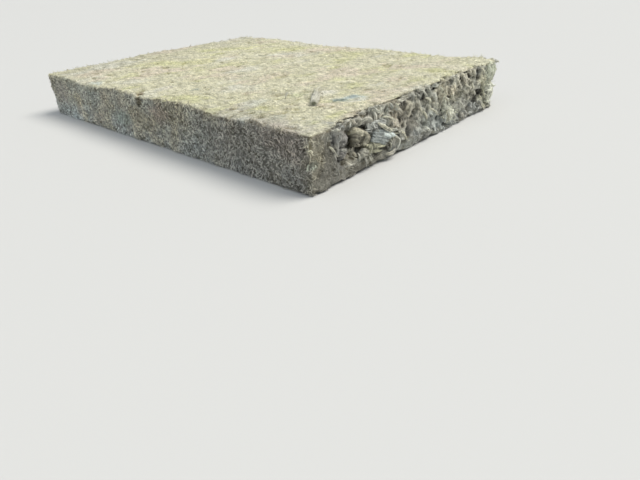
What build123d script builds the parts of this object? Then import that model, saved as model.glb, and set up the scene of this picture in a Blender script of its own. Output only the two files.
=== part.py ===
"""Mineral wool insulation batt, cut short, with one long end knife-scored and then torn off by hand.

The batt lies flat. +X runs along it to the torn end, +Y goes across it, +Z is up, and the origin is at the
middle of its underside. All sizes are in millimetres.
"""

from build123d import *

import os
from math import cos, hypot, pi

# Overall size of the piece
batt_length = 790.0  # sawn end to the furthest wool of the torn end
batt_width = 584.0  # 23 inch batt for studs at 24 inch centres
batt_thickness = 89.0  # 3 1/2 inch batt, at its front top edge
corner_radius = 3.0  # rounding of the two upright corners at the sawn end

# Top face, which has sprung up a little above its nominal thickness
back_rise = 5.0  # how much thicker the back edge is than the front edge
crown_height = 2.0  # rise of the middle above the line between the two long edges
wave_reach = 75.0  # how far in from a long edge that edge's waves run

# Waves of the two long top edges: distance from the sawn end, half length, rise
front_edge_waves = [
    (178.0, 95.0, -4.0),
    (292.0, 50.0, 1.5),
    (368.0, 34.0, -2.5),
    (488.0, 95.0, 4.5),
    (600.0, 45.0, -2.0),
    (680.0, 50.0, 1.5),
]
back_edge_waves = [
    (140.0, 110.0, 2.0),
    (330.0, 120.0, -3.0),
    (520.0, 70.0, 1.5),
    (735.0, 60.0, 3.5),
]

# Two pinches of wool pulled out of the front top edge: one leaves a nick in the edge, one a pit below it
nick_station = 358.0  # from the sawn end
nick_inset = 6.0  # in from the front side
nick_radius = 13.0
nick_depth = 6.0  # below the top edge
pit_station = 367.0  # from the sawn end
pit_height = 73.0  # above the underside
pit_radius = 5.5
pit_depth = 4.0  # into the front side

# Knife cut that started the tear: an upright cut at the front corner and a score along the underside
knife_run = 46.0  # clean face in from the front corner, at the top edge
knife_run_flare = 34.0  # how much further that clean face runs at the underside
score_height = 17.0  # clean strip above the underside
score_fade_start = 250.0  # from the front side, where the strip starts to thin out
score_fade_end = 380.0  # where it is gone
knife_step = 26.0  # width of the step from that clean face to torn wool
score_step = 13.0  # height of the step from the clean strip to torn wool

# Torn face
tear_skew = 7.0  # how far the front corner lies behind the furthest point of the torn end
tear_setback = 10.0  # torn wool behind the clean face, on average
flap_width = 70.0  # wool left standing proud at the back corner
flap_foot = 42.0  # height where that flap starts
flap_step = 24.0  # height over which it comes forward

# Hollows and lumps of the torn face: distance from the front side, height, half width, half height, depth
tear_hollows = [
    (104.0, 50.0, 52.0, 34.0, 26.0),
    (162.0, 40.0, 44.0, 30.0, 17.0),
    (228.0, 66.0, 34.0, 24.0, 9.0),
    (262.0, 30.0, 40.0, 22.0, -5.0),
    (318.0, 52.0, 36.0, 28.0, 11.0),
    (376.0, 24.0, 38.0, 20.0, 6.0),
    (398.0, 70.0, 34.0, 20.0, -5.0),
    (446.0, 46.0, 40.0, 26.0, 12.0),
    (508.0, 26.0, 36.0, 22.0, 10.0),
]

# Spacing of the profiles that the two free faces are lofted through, and how far those run past the blank
top_spacing = 32.0
tear_spacing = 12.0
tear_point_spacing = 10.0
overrun = 12.0

front_y = -batt_width / 2
sawn_x = -batt_length / 2
torn_x = batt_length / 2
blank_height = batt_thickness + back_rise + crown_height + overrun


def ease(share):
    """0 below 0, 1 above 1, and a smooth step between."""
    share = min(1.0, max(0.0, share))
    return share * share * (3 - 2 * share)


def swell(distance, reach):
    """1 where distance is 0, falling in a smooth hump to 0 at reach."""
    return (1 + cos(pi * min(1.0, abs(distance) / reach))) / 2


def edge_rise(station, waves):
    """Rise of a long top edge at a distance from the sawn end."""
    return sum(rise * swell(station - middle, half) for middle, half, rise in waves)


def top_height(x, y):
    """Height of the top face: a slope with a low crown, and each long edge's waves fading into it."""
    station = x - sawn_x
    from_front = y - front_y
    height = batt_thickness + back_rise * from_front / batt_width + crown_height * swell(y, batt_width / 2)
    height += edge_rise(station, front_edge_waves) * swell(max(0.0, from_front), wave_reach)
    height += edge_rise(station, back_edge_waves) * swell(max(0.0, batt_width - from_front), wave_reach)
    return height


def tear_depth(y, z):
    """Depth of the torn face behind the furthest point of the torn end."""
    from_front = y - front_y
    clean_run = knife_run + knife_run_flare * ease(1 - z / batt_thickness)
    strip = score_height * (1 - ease((from_front - score_fade_start) / (score_fade_end - score_fade_start)))
    torn = ease((from_front - clean_run) / knife_step) * ease((z - strip) / score_step)
    flap = ease((from_front - batt_width + flap_width) / flap_width) * ease((z - flap_foot) / flap_step)
    depth = tear_setback * (1 - flap)
    for middle, height, half_width, half_height, hollow in tear_hollows:
        depth += hollow * swell(hypot((from_front - middle) / half_width, (z - height) / half_height), 1.0)
    skew = tear_skew * (1 - ease(from_front / batt_width))
    return skew + torn * max(0.0, depth)


def spread(low, high, spacing):
    """Evenly spaced values from low to high, both included, about spacing apart."""
    steps = max(4, round((high - low) / spacing))
    return [low + (high - low) * i / steps for i in range(steps + 1)]


def lofted_face(rows):
    """One smooth face through a spline along each row of points."""
    profiles = []
    for row in rows:
        with BuildLine() as profile:
            Spline(*row)
        profiles.append(profile.wire())
    return Shell.make_loft(profiles).face()


# Where the profiles start and stop
x_run = (sawn_x - overrun, torn_x + overrun)
y_run = (front_y - overrun, -front_y + overrun)
z_run = (-overrun, blank_height + overrun)

top_skin = lofted_face(
    [[(x, y, top_height(x, y)) for y in spread(*y_run, top_spacing)] for x in spread(*x_run, top_spacing)]
)
torn_face = lofted_face(
    [
        [(torn_x - tear_depth(y, z), y, z) for z in spread(*z_run, tear_point_spacing)]
        for y in spread(*y_run, tear_spacing)
    ]
)

with BuildPart() as batt:
    # Blank sawn to width, with wool to spare at the end that tears
    with BuildSketch() as outline:
        with Locations((overrun / 2, 0)):
            Rectangle(batt_length + overrun, batt_width)
        fillet(outline.vertices().group_by(Axis.X)[0], corner_radius)
    extrude(amount=blank_height)
    # Crowned, wavy top face
    extrude(top_skin, amount=blank_height, dir=(0, 0, 1), mode=Mode.SUBTRACT)
    # Scored and torn end
    extrude(torn_face, amount=batt_width, dir=(1, 0, 0), mode=Mode.SUBTRACT)
    # Nick in the front top edge and the pit below it
    nick_height = batt_thickness - nick_depth + nick_radius
    with Locations((sawn_x + nick_station, front_y + nick_inset, nick_height)):
        Sphere(nick_radius, mode=Mode.SUBTRACT)
    with Locations((sawn_x + pit_station, front_y + pit_depth - pit_radius, pit_height)):
        Sphere(pit_radius, mode=Mode.SUBTRACT)

batt.part.label = "batt"

os.makedirs("parts", exist_ok=True)
export_step(batt.part, "parts/batt.step")

size = batt.part.bounding_box().size
print(f"batt {size.X:.1f} x {size.Y:.1f} x {size.Z:.1f} mm, volume {batt.part.volume / 1e6:.2f} litres")
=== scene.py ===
# %% [markdown]
# # A torn piece of mineral wool batt
#
# A batt is a thick mat of fine stone fibres, lightly glued together and sawn to width. This one was cut
# short: a knife scored one end, and the rest was torn off by hand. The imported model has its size, its
# wavy top edges and the hollows of the tear, but it is as smooth as soap. What makes it wool is loose
# matter: a felted top skin, thousands of curled flakes on the sawn sides, and torn locks that stand out
# of the end. This lesson adds them from the inside out, and keeps every size in metres.

import bmesh
import bpy
import numpy as np
from mathutils import Matrix, Vector
from mathutils.bvhtree import BVHTree
from mathutils.kdtree import KDTree


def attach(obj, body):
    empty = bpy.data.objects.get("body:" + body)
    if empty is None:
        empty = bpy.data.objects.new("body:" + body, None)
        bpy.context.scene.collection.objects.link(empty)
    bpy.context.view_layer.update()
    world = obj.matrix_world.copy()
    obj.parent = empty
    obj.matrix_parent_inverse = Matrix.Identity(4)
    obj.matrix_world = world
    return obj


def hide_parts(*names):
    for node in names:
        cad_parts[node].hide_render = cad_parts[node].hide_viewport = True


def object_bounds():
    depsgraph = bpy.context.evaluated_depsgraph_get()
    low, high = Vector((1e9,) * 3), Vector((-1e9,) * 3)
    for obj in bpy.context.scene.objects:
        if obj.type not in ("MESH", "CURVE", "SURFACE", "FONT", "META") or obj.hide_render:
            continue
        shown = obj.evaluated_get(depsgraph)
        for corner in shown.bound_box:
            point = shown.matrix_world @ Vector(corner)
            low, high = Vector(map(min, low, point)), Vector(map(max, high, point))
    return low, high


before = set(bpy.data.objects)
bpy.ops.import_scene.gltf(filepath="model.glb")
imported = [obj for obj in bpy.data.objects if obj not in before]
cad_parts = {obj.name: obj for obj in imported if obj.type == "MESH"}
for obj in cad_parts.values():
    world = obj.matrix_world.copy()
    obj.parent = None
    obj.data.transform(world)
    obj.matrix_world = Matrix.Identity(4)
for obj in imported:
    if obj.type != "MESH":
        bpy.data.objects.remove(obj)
cad_low, cad_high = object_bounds()
print("packed model from", tuple(cad_low), "to", tuple(cad_high))

# %% Sizes that the wool is placed by
front_y = cad_low.y
sawn_x = cad_low.x
torn_x = cad_high.x
batt_length = torn_x - sawn_x
batt_width = cad_high.y - cad_low.y
batt_thickness = 0.089
rng = np.random.default_rng(47)
print(f"batt {batt_length:.3f} x {batt_width:.3f} m")

# %% [markdown]
# ## Small helpers
#
# Wool has detail at every size, so most steps need smooth noise at thousands of points at once. Blender's
# own noise function takes one point at a time. A lattice of repeatable random numbers, blended between
# its corners, does the same for a whole numpy array in one go. The lattice is turned first, so that its
# rows don't line up with the sides of the batt.

# %% Noise for arrays of points
lattice_turn = np.array(Matrix.Rotation(0.7, 3, Vector((0.4, 0.7, 0.6))))


def lattice_value(cells, seed):
    """A repeatable number from -1 to 1 for each cell."""
    mixed = cells @ np.array([374761393, 668265263, 1274126177]) + seed * 1442695041
    mixed = (mixed ^ (mixed >> 13)) * 1103515245
    return ((mixed ^ (mixed >> 16)) & 0xFFFF) / 32767.5 - 1


def wool_noise(points, size, seed):
    """Smooth noise from -1 to 1 whose lumps are about that size, one number or one for each axis."""
    turned = (points / size) @ lattice_turn
    cells = np.floor(turned).astype(np.int64)
    share = turned - cells
    share = share * share * (3 - 2 * share)
    total = np.zeros(len(points))
    for corner in np.ndindex(2, 2, 2):
        weight = np.prod(np.where(corner, share, 1 - share), axis=1)
        total += weight * lattice_value(cells + np.array(corner), seed)
    return total


def ease(value, start, stop):
    """0 before start, 1 after stop, and a smooth step between."""
    share = np.clip((value - start) / (stop - start), 0, 1)
    return share * share * (3 - 2 * share)


def fade(value, start, stop):
    """1 before start, 0 after stop, and a smooth step between."""
    return ease(-value, -stop, -start)


print("noise sample", wool_noise(np.zeros((1, 3)), 0.01, 1))

# %% [markdown]
# Two more helpers turn meshes into arrays and arrays into meshes. A piece of this part is a mesh with a
# material that rides on the one body.


# %% Meshes in and out of arrays
def read_mesh(mesh):
    """Points, point normals and triangles of a mesh."""
    points = np.empty(len(mesh.vertices) * 3)
    mesh.vertices.foreach_get("co", points)
    normals = np.empty(len(mesh.vertices) * 3)
    mesh.vertex_normals.foreach_get("vector", normals)
    mesh.calc_loop_triangles()
    triangles = np.empty(len(mesh.loop_triangles) * 3, np.int32)
    mesh.loop_triangles.foreach_get("vertices", triangles)
    return points.reshape(-1, 3), normals.reshape(-1, 3), triangles.reshape(-1, 3)


def write_mesh(name, points, triangles):
    """A new mesh from points and triangles, with smooth faces."""
    mesh = bpy.data.meshes.new(name)
    mesh.vertices.add(len(points))
    mesh.vertices.foreach_set("co", np.asarray(points, np.float32).ravel())
    mesh.loops.add(triangles.size)
    mesh.loops.foreach_set("vertex_index", triangles.ravel().astype(np.int32))
    mesh.polygons.add(len(triangles))
    mesh.polygons.foreach_set("loop_start", np.arange(0, triangles.size, 3, dtype=np.int32))
    mesh.update(calc_edges=True)
    mesh.shade_smooth()
    return mesh


def tint_mesh(mesh, colours):
    """Stores one colour for each point, which the materials multiply by."""
    layer = mesh.color_attributes.new("tint", "FLOAT_COLOR", "POINT")
    layer.data.foreach_set("color", np.c_[colours, np.ones(len(colours))].astype(np.float32).ravel())


def modified_mesh(mesh, kind, **settings):
    """The mesh after one modifier."""
    worker = bpy.data.objects.new("worker", mesh)
    bpy.context.scene.collection.objects.link(worker)
    modifier = worker.modifiers.new(kind, kind)
    for setting, value in settings.items():
        setattr(modifier, setting, value)
    made = bpy.data.meshes.new_from_object(worker.evaluated_get(bpy.context.evaluated_depsgraph_get()))
    bpy.data.objects.remove(worker)
    return made


def add_wool(name, mesh, material):
    """A visible piece of the batt made from that mesh."""
    piece = bpy.data.objects.new(name, mesh)
    bpy.context.scene.collection.objects.link(piece)
    mesh.materials.clear()
    mesh.materials.append(material)
    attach(piece, "root")
    mesh.calc_loop_triangles()
    print(f"{name}: {len(mesh.loop_triangles)} triangles")
    return piece


# %% [markdown]
# ## The camera
#
# The camera comes early, so that every later step can be judged from the photograph's side. Its place and
# its lens were worked out from the corners of the batt in the photograph. It is tipped up by four
# degrees, because the photograph cuts the far corner of the batt off and the lesson shows it whole.

# %% Camera
camera_place = Vector((0.8094, -0.7574, 0.2937))
camera_azimuth = np.radians(131.472)
camera_elevation = np.radians(-30.0)
camera_roll = np.radians(-2.219)
sensor_width = 36.0
photo_width = 640
focal_pixels = 489.75


def direction(azimuth, elevation):
    """The direction with that azimuth and elevation, in radians."""
    level = np.cos(elevation)
    return Vector((level * np.cos(azimuth), level * np.sin(azimuth), np.sin(elevation)))


camera_data = bpy.data.cameras.new("camera")
camera_data.sensor_width = sensor_width
camera_data.lens = focal_pixels / photo_width * sensor_width
camera = bpy.data.objects.new("camera", camera_data)
aim = direction(camera_azimuth, camera_elevation)
camera.matrix_world = (
    Matrix.Translation(camera_place)
    @ aim.to_track_quat("-Z", "Y").to_matrix().to_4x4()
    @ Matrix.Rotation(camera_roll, 4, "Z")
)
bpy.context.scene.collection.objects.link(camera)
bpy.context.scene.camera = camera
print(f"lens {camera_data.lens:.1f} mm")

# %% [markdown]
# ## Where the wool is clean and where it is torn
#
# The knife left a clean upright strip at the front corner and a clean strip along the underside.
# Everything else on that end is torn. One function says how torn the wool is at a point, and the relief,
# the locks and the colours all use it.


# %% Places on the batt
def sawn_distance(points):
    """How far each point lies from the sawn end."""
    return points[:, 0] - sawn_x


def front_distance(points):
    """How far each point lies from the front side."""
    return points[:, 1] - front_y


def on_batt(station, from_front, height):
    """A point given by its distances from the sawn end, from the front side and from the underside."""
    return np.array([sawn_x + station, front_y + from_front, height])


print("middle of the batt:", on_batt(batt_length / 2, batt_width / 2, batt_thickness / 2))

# %% Share of torn wool
knife_run = 0.036  # the clean upright strip at the front corner
knife_run_flare = 0.024  # what it gains towards the underside
score_height = 0.017  # the clean strip along the underside
score_fade_start = 0.250
score_fade_end = 0.380
tear_reach = 0.048  # how far in from the end the wool is torn
tear_step, knife_step, score_step = 0.005, 0.012, 0.008  # how softly torn wool starts on each side


def torn_share(points):
    """0 on sawn and knife-cut wool, 1 on torn wool."""
    clean_run = knife_run + knife_run_flare * fade(points[:, 2], 0, batt_thickness)
    strip = score_height * fade(front_distance(points), score_fade_start, score_fade_end)
    at_end = ease(points[:, 0], torn_x - tear_reach, torn_x - tear_reach + tear_step)
    beside_cut = ease(front_distance(points), clean_run, clean_run + knife_step)
    above_score = ease(points[:, 2], strip, strip + score_step)
    return at_end * beside_cut * above_score


print("torn share at the middle of the end:", torn_share(on_batt(batt_length, batt_width / 2, 0.05)[None]))

# %% [markdown]
# ## The felted body
#
# The sawn block becomes felt in three moves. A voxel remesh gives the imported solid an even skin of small
# faces and softens its edges by about one voxel. Each point of that skin then moves along its normal by
# noise: slow waves, lumps drawn out along the felt's grain, and fine pits. Last, the mesh is reduced,
# which spends its triangles where the skin is rough and saves them on the plain underside.

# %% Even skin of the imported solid
voxel = 0.0022
body_triangles = 188000

felt = modified_mesh(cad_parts["batt"].data.copy(), "WELD", merge_threshold=0.00002)
felt = modified_mesh(felt, "REMESH", mode="VOXEL", voxel_size=voxel)
felt_points, felt_normals, felt_faces = read_mesh(felt)
print("felt skin:", len(felt_points), "points")


# %% Rim of the torn end
def tree_of(points):
    """A tree that finds the nearest of these points."""
    tree = KDTree(len(points))
    for number, point in enumerate(points):
        tree.insert(point, number)
    tree.balance()
    return tree


rim_zone = 0.075  # how far in from the end the rim is looked for
lowest_rim = 0.055
least_facing, most_facing = 0.3, 0.8  # share of upward facing, between the end's and the top's

facing_up = felt_normals[:, 2]
near_end = (felt_points[:, 0] > torn_x - rim_zone) & (felt_points[:, 2] > lowest_rim)
on_rim = near_end & (facing_up > least_facing) & (facing_up < most_facing)
on_rim &= torn_share(felt_points) > 0.3
rim_tree = tree_of(felt_points[on_rim])
from_rim = np.full(len(felt_points), 1.0)
from_rim[near_end] = [rim_tree.find(point)[2] for point in felt_points[near_end]]
print("rim of the torn end:", on_rim.sum(), "points")

# %% Rags along that rim
rag_reach = 0.014  # how far in from the rim the rags go
rag_depth = 0.011
rag_drop = 0.3  # how far they go down for each step in

rags = ease(wool_noise(felt_points, 0.026, 24), -0.2, 0.8) + 0.6 * wool_noise(felt_points, 0.009, 25)
felt_points[:, 0] -= rag_depth * fade(from_rim, 0, rag_reach) * rags
felt_points[:, 2] -= rag_drop * rag_depth * fade(from_rim, 0, rag_reach) * rags
smooth_points, smooth_normals = felt_points, felt_normals
smooth_skin = BVHTree.FromPolygons(felt_points.tolist(), felt_faces.tolist())
print("rags from", rags.min(), "to", rags.max())

# %% Heights and depths read from that skin
ray_start = 1.0
rim_inset = 0.004
deepest_tear = 0.045


def below_top(points):
    """How far each point lies below the top skin, with points near the rim measured just inside it."""
    inner_x = np.clip(points[:, 0], sawn_x + rim_inset, torn_x - deepest_tear)
    inner_y = np.clip(points[:, 1], front_y + rim_inset, -front_y - rim_inset)
    heights = [smooth_skin.ray_cast((x, y, ray_start), (0, 0, -1))[0].z for x, y in zip(inner_x, inner_y)]
    return np.array(heights) - points[:, 2]


def top_at(station, from_front, rise):
    """A point that rises from the top skin at a distance from the sawn end and from the front side."""
    x, y = sawn_x + station, front_y + from_front
    return np.array([x, y, smooth_skin.ray_cast((x, y, ray_start), (0, 0, -1))[0].z + rise])


print("top at the middle:", top_at(batt_length / 2, batt_width / 2, 0)[2])

# %% [markdown]
# The noise makes most pits. A few of the largest ones in the photograph are placed one by one, because the
# eye finds them at once: each has a place, a size and a depth. The relief also reports how deep each
# point lies among its neighbours, so that the colour can paint shade into the pits.

# %% Mounds and pits of the top
# Mounds on the top: distance from the sawn end, from the front side, half length along the grain,
# half width, rise
top_mounds = [
    (0.652, 0.182, 0.028, 0.019, 0.0055),
    (0.192, 0.161, 0.038, 0.008, 0.0025),
    (0.300, 0.300, 0.050, 0.020, 0.0020),
    (0.700, 0.060, 0.030, 0.014, 0.0015),
]

# Pits in the top: distance from the sawn end, from the front side, half length along the grain,
# half width, depth
top_pits = [
    (0.619, 0.179, 0.011, 0.006, 0.0030),
    (0.612, 0.113, 0.012, 0.006, 0.0030),
    (0.664, 0.023, 0.010, 0.008, 0.0050),
    (0.640, 0.133, 0.012, 0.006, 0.0020),
    (0.652, 0.102, 0.008, 0.005, 0.0022),
    (0.685, 0.072, 0.007, 0.005, 0.0020),
    (0.722, 0.055, 0.007, 0.005, 0.0020),
    (0.588, 0.035, 0.010, 0.006, 0.0030),
    (0.428, 0.082, 0.012, 0.007, 0.0030),
    (0.460, 0.058, 0.010, 0.006, 0.0020),
    (0.242, 0.194, 0.012, 0.007, 0.0030),
    (0.298, 0.108, 0.010, 0.006, 0.0022),
    (0.218, 0.084, 0.026, 0.005, 0.0026),
    (0.107, 0.146, 0.022, 0.005, 0.0022),
    (0.354, 0.216, 0.014, 0.008, 0.0020),
    (0.641, 0.440, 0.010, 0.006, 0.0022),
    (0.162, 0.020, 0.014, 0.004, 0.0026),
    (0.350, 0.013, 0.006, 0.013, 0.0045),
    (0.645, 0.209, 0.008, 0.005, 0.0024),
    (0.715, 0.130, 0.008, 0.005, 0.0020),
    (0.703, 0.167, 0.009, 0.005, 0.0024),
]
print(len(top_mounds), "mounds and", len(top_pits), "pits")

# %% Pits of the front side
# Pits in the front side: distance from the sawn end, height, half length, half height, depth
front_pits = [
    (0.367, 0.080, 0.011, 0.0055, 0.008),
    (0.364, 0.070, 0.008, 0.0040, 0.006),
    (0.322, 0.073, 0.003, 0.0080, 0.004),
    (0.336, 0.071, 0.003, 0.0080, 0.004),
    (0.311, 0.042, 0.005, 0.0035, 0.003),
    (0.460, 0.062, 0.007, 0.0035, 0.003),
    (0.393, 0.037, 0.005, 0.0030, 0.003),
    (0.767, 0.067, 0.008, 0.0028, 0.006),
    (0.537, 0.084, 0.007, 0.0035, 0.003),
    (0.569, 0.087, 0.006, 0.0035, 0.003),
    (0.724, 0.037, 0.005, 0.0035, 0.003),
    (0.693, 0.043, 0.006, 0.0030, 0.003),
    (0.658, 0.050, 0.005, 0.0030, 0.003),
]


def front_pit(points):
    """Depth of the placed pits of the front side at each point."""
    depth = np.zeros(len(points))
    near_front = points[:, 1] < front_y + 0.02
    for station, height, half_length, half_height, deepest in front_pits:
        along = (sawn_distance(points) - station) / half_length
        reach = np.hypot(along, (points[:, 2] - height) / half_height)
        depth = np.maximum(depth, deepest * fade(reach, 0.3, 1.0) * near_front)
    return depth


print("deepest front pit:", front_pit(smooth_points).max())

# %% The felt's grain
grain = np.radians(78)
grain_turn = np.array(Matrix.Rotation(-grain, 3, "Z"))


def along_grain(points):
    """Points turned so that the felt's grain runs along the first axis."""
    return points @ grain_turn.T


def grain_reach(points, station, from_front, half_length, half_width):
    """Distance from a place on the top, 1 at the given half length and half width."""
    offset = along_grain(points - on_batt(station, from_front, 0))
    return np.hypot(offset[:, 0] / half_length, offset[:, 1] / half_width)


def grain_noise(grained, length, width, seed):
    """Smooth noise with lumps drawn out along the grain, at points that are turned along it already."""
    return wool_noise(grained, np.array([length, width, width]), seed)


print("grain at", np.degrees(grain), "degrees to the length")

# %% Relief of the skin
sunk_core = 0.009  # how far the felt lies behind the torn face, which gets its own skin later
skin_turn = 0.45, 0.85  # share of upward facing at which the top skin starts, and is complete
wave_height, lump_height, knot_height = 0.0016, 0.0011, 0.0011
pit_depth, dimple_depth = 0.0032, 0.0018
chip_height, ripple_height = 0.0010, 0.0014  # on the sawn sides
edge_wear, edge_grit = 0.0024, 0.0010
groove_depth = 0.0006  # of the grooves that run along the underside


def skin_relief(points, normals):
    """How far each point moves along its normal, and how deep among its neighbours it then lies."""
    top = ease(normals[:, 2], *skin_turn)
    under = ease(-normals[:, 2], *skin_turn)
    side = (1 - top) * (1 - under)
    torn = torn_share(points) * side
    grained = along_grain(points)

    pits = ease(grain_noise(grained, 0.018, 0.010, 14), 0.50, 0.85)
    dimples = ease(grain_noise(grained, 0.010, 0.006, 20), 0.40, 0.80)
    knots = grain_noise(grained, 0.011, 0.006, 13)
    top_relief = wave_height * grain_noise(grained, 0.090, 0.050, 11)
    top_relief += lump_height * grain_noise(grained, 0.032, 0.014, 12)
    top_relief += knot_height * knots - pit_depth * pits - dimple_depth * dimples
    top_hollow = 0.9 * pits + 0.7 * dimples - 0.35 * knots
    for *place, depth in top_pits:
        pit = fade(grain_reach(points, *place), 0.3, 1.0)
        top_relief -= depth * pit
        top_hollow = np.maximum(top_hollow, 1.1 * pit)
    for *place, rise in top_mounds:
        top_relief += rise * fade(grain_reach(points, *place), 0.0, 1.0)

    chips = wool_noise(points, 0.0065, 15)
    side_relief = chip_height * chips + ripple_height * wool_noise(points, 0.020, 16)
    worn = 4 * top * (1 - top) + 4 * under * (1 - under)
    edge_relief = -edge_wear * ease(wool_noise(points, 0.016, 21), -0.1, 0.7)
    edge_relief += edge_grit * wool_noise(points, 0.007, 22)
    placed = front_pit(points)
    side_relief -= placed
    side_hollow = np.maximum(ease(-chips, -0.2, 0.8), ease(placed, 0.0, 0.003) * 1.2)

    grooves = -groove_depth * (1 + grain_noise(points, 0.060, 0.006, 19))
    relief = top * top_relief + side * ((1 - torn) * side_relief - torn * sunk_core)
    relief += worn * edge_relief + under * grooves
    hollow = top * top_hollow + side * ((1 - torn) * side_hollow + torn)
    return relief, hollow


relief, hollow = skin_relief(felt_points, felt_normals)
felt_points = felt_points + felt_normals * relief[:, None]
print("relief from", relief.min(), "to", relief.max())

# %% The lower edge of the torn end curls up a little
curl_up = 0.0032
curl_start, curl_end = 0.034, 0.004  # how far in from the end it starts, and is complete
curl_top = 0.030

curled_up = ease(felt_points[:, 0], torn_x - curl_start, torn_x - curl_end)
curled_up *= fade(felt_points[:, 2], 0, curl_top)
waves = 1 + wool_noise(felt_points, 0.050, 23) + wool_noise(felt_points, 0.014, 24)
felt_points[:, 2] += curl_up * curled_up * waves
felt_points[:, 2] = np.maximum(felt_points[:, 2], 0)
print("curled up at", (curled_up > 0).sum(), "points")

# %% [markdown]
# ## Colour
#
# Stone wool is straw yellow where the binder shows, and greyer or bluer where it doesn't. On the top the
# photograph shows slow patches of cream, straw, rose and off-white. The sawn sides are greyer, with tan,
# slate and brown. A few patches can be placed one by one, each a stain of the wool, a painted shade or a
# painted highlight. All of this goes into a colour on each point, which flakes and locks pick up from
# where they stand. The fine speckle stays in the material.

# %% Colours of the wool
cream = np.array([1.00, 0.975, 0.80])
straw = np.array([0.97, 0.97, 0.64])
rose = np.array([1.03, 0.94, 0.83])
chalk = np.array([1.05, 1.04, 0.97])
grey = np.array([0.95, 0.96, 0.92])
tan = np.array([1.00, 0.955, 0.82])
slate = np.array([0.84, 0.92, 0.95])
umber = np.array([0.92, 0.82, 0.72])
print("mean of the top's colours:", np.mean([cream, straw, rose, chalk], axis=0))
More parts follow.
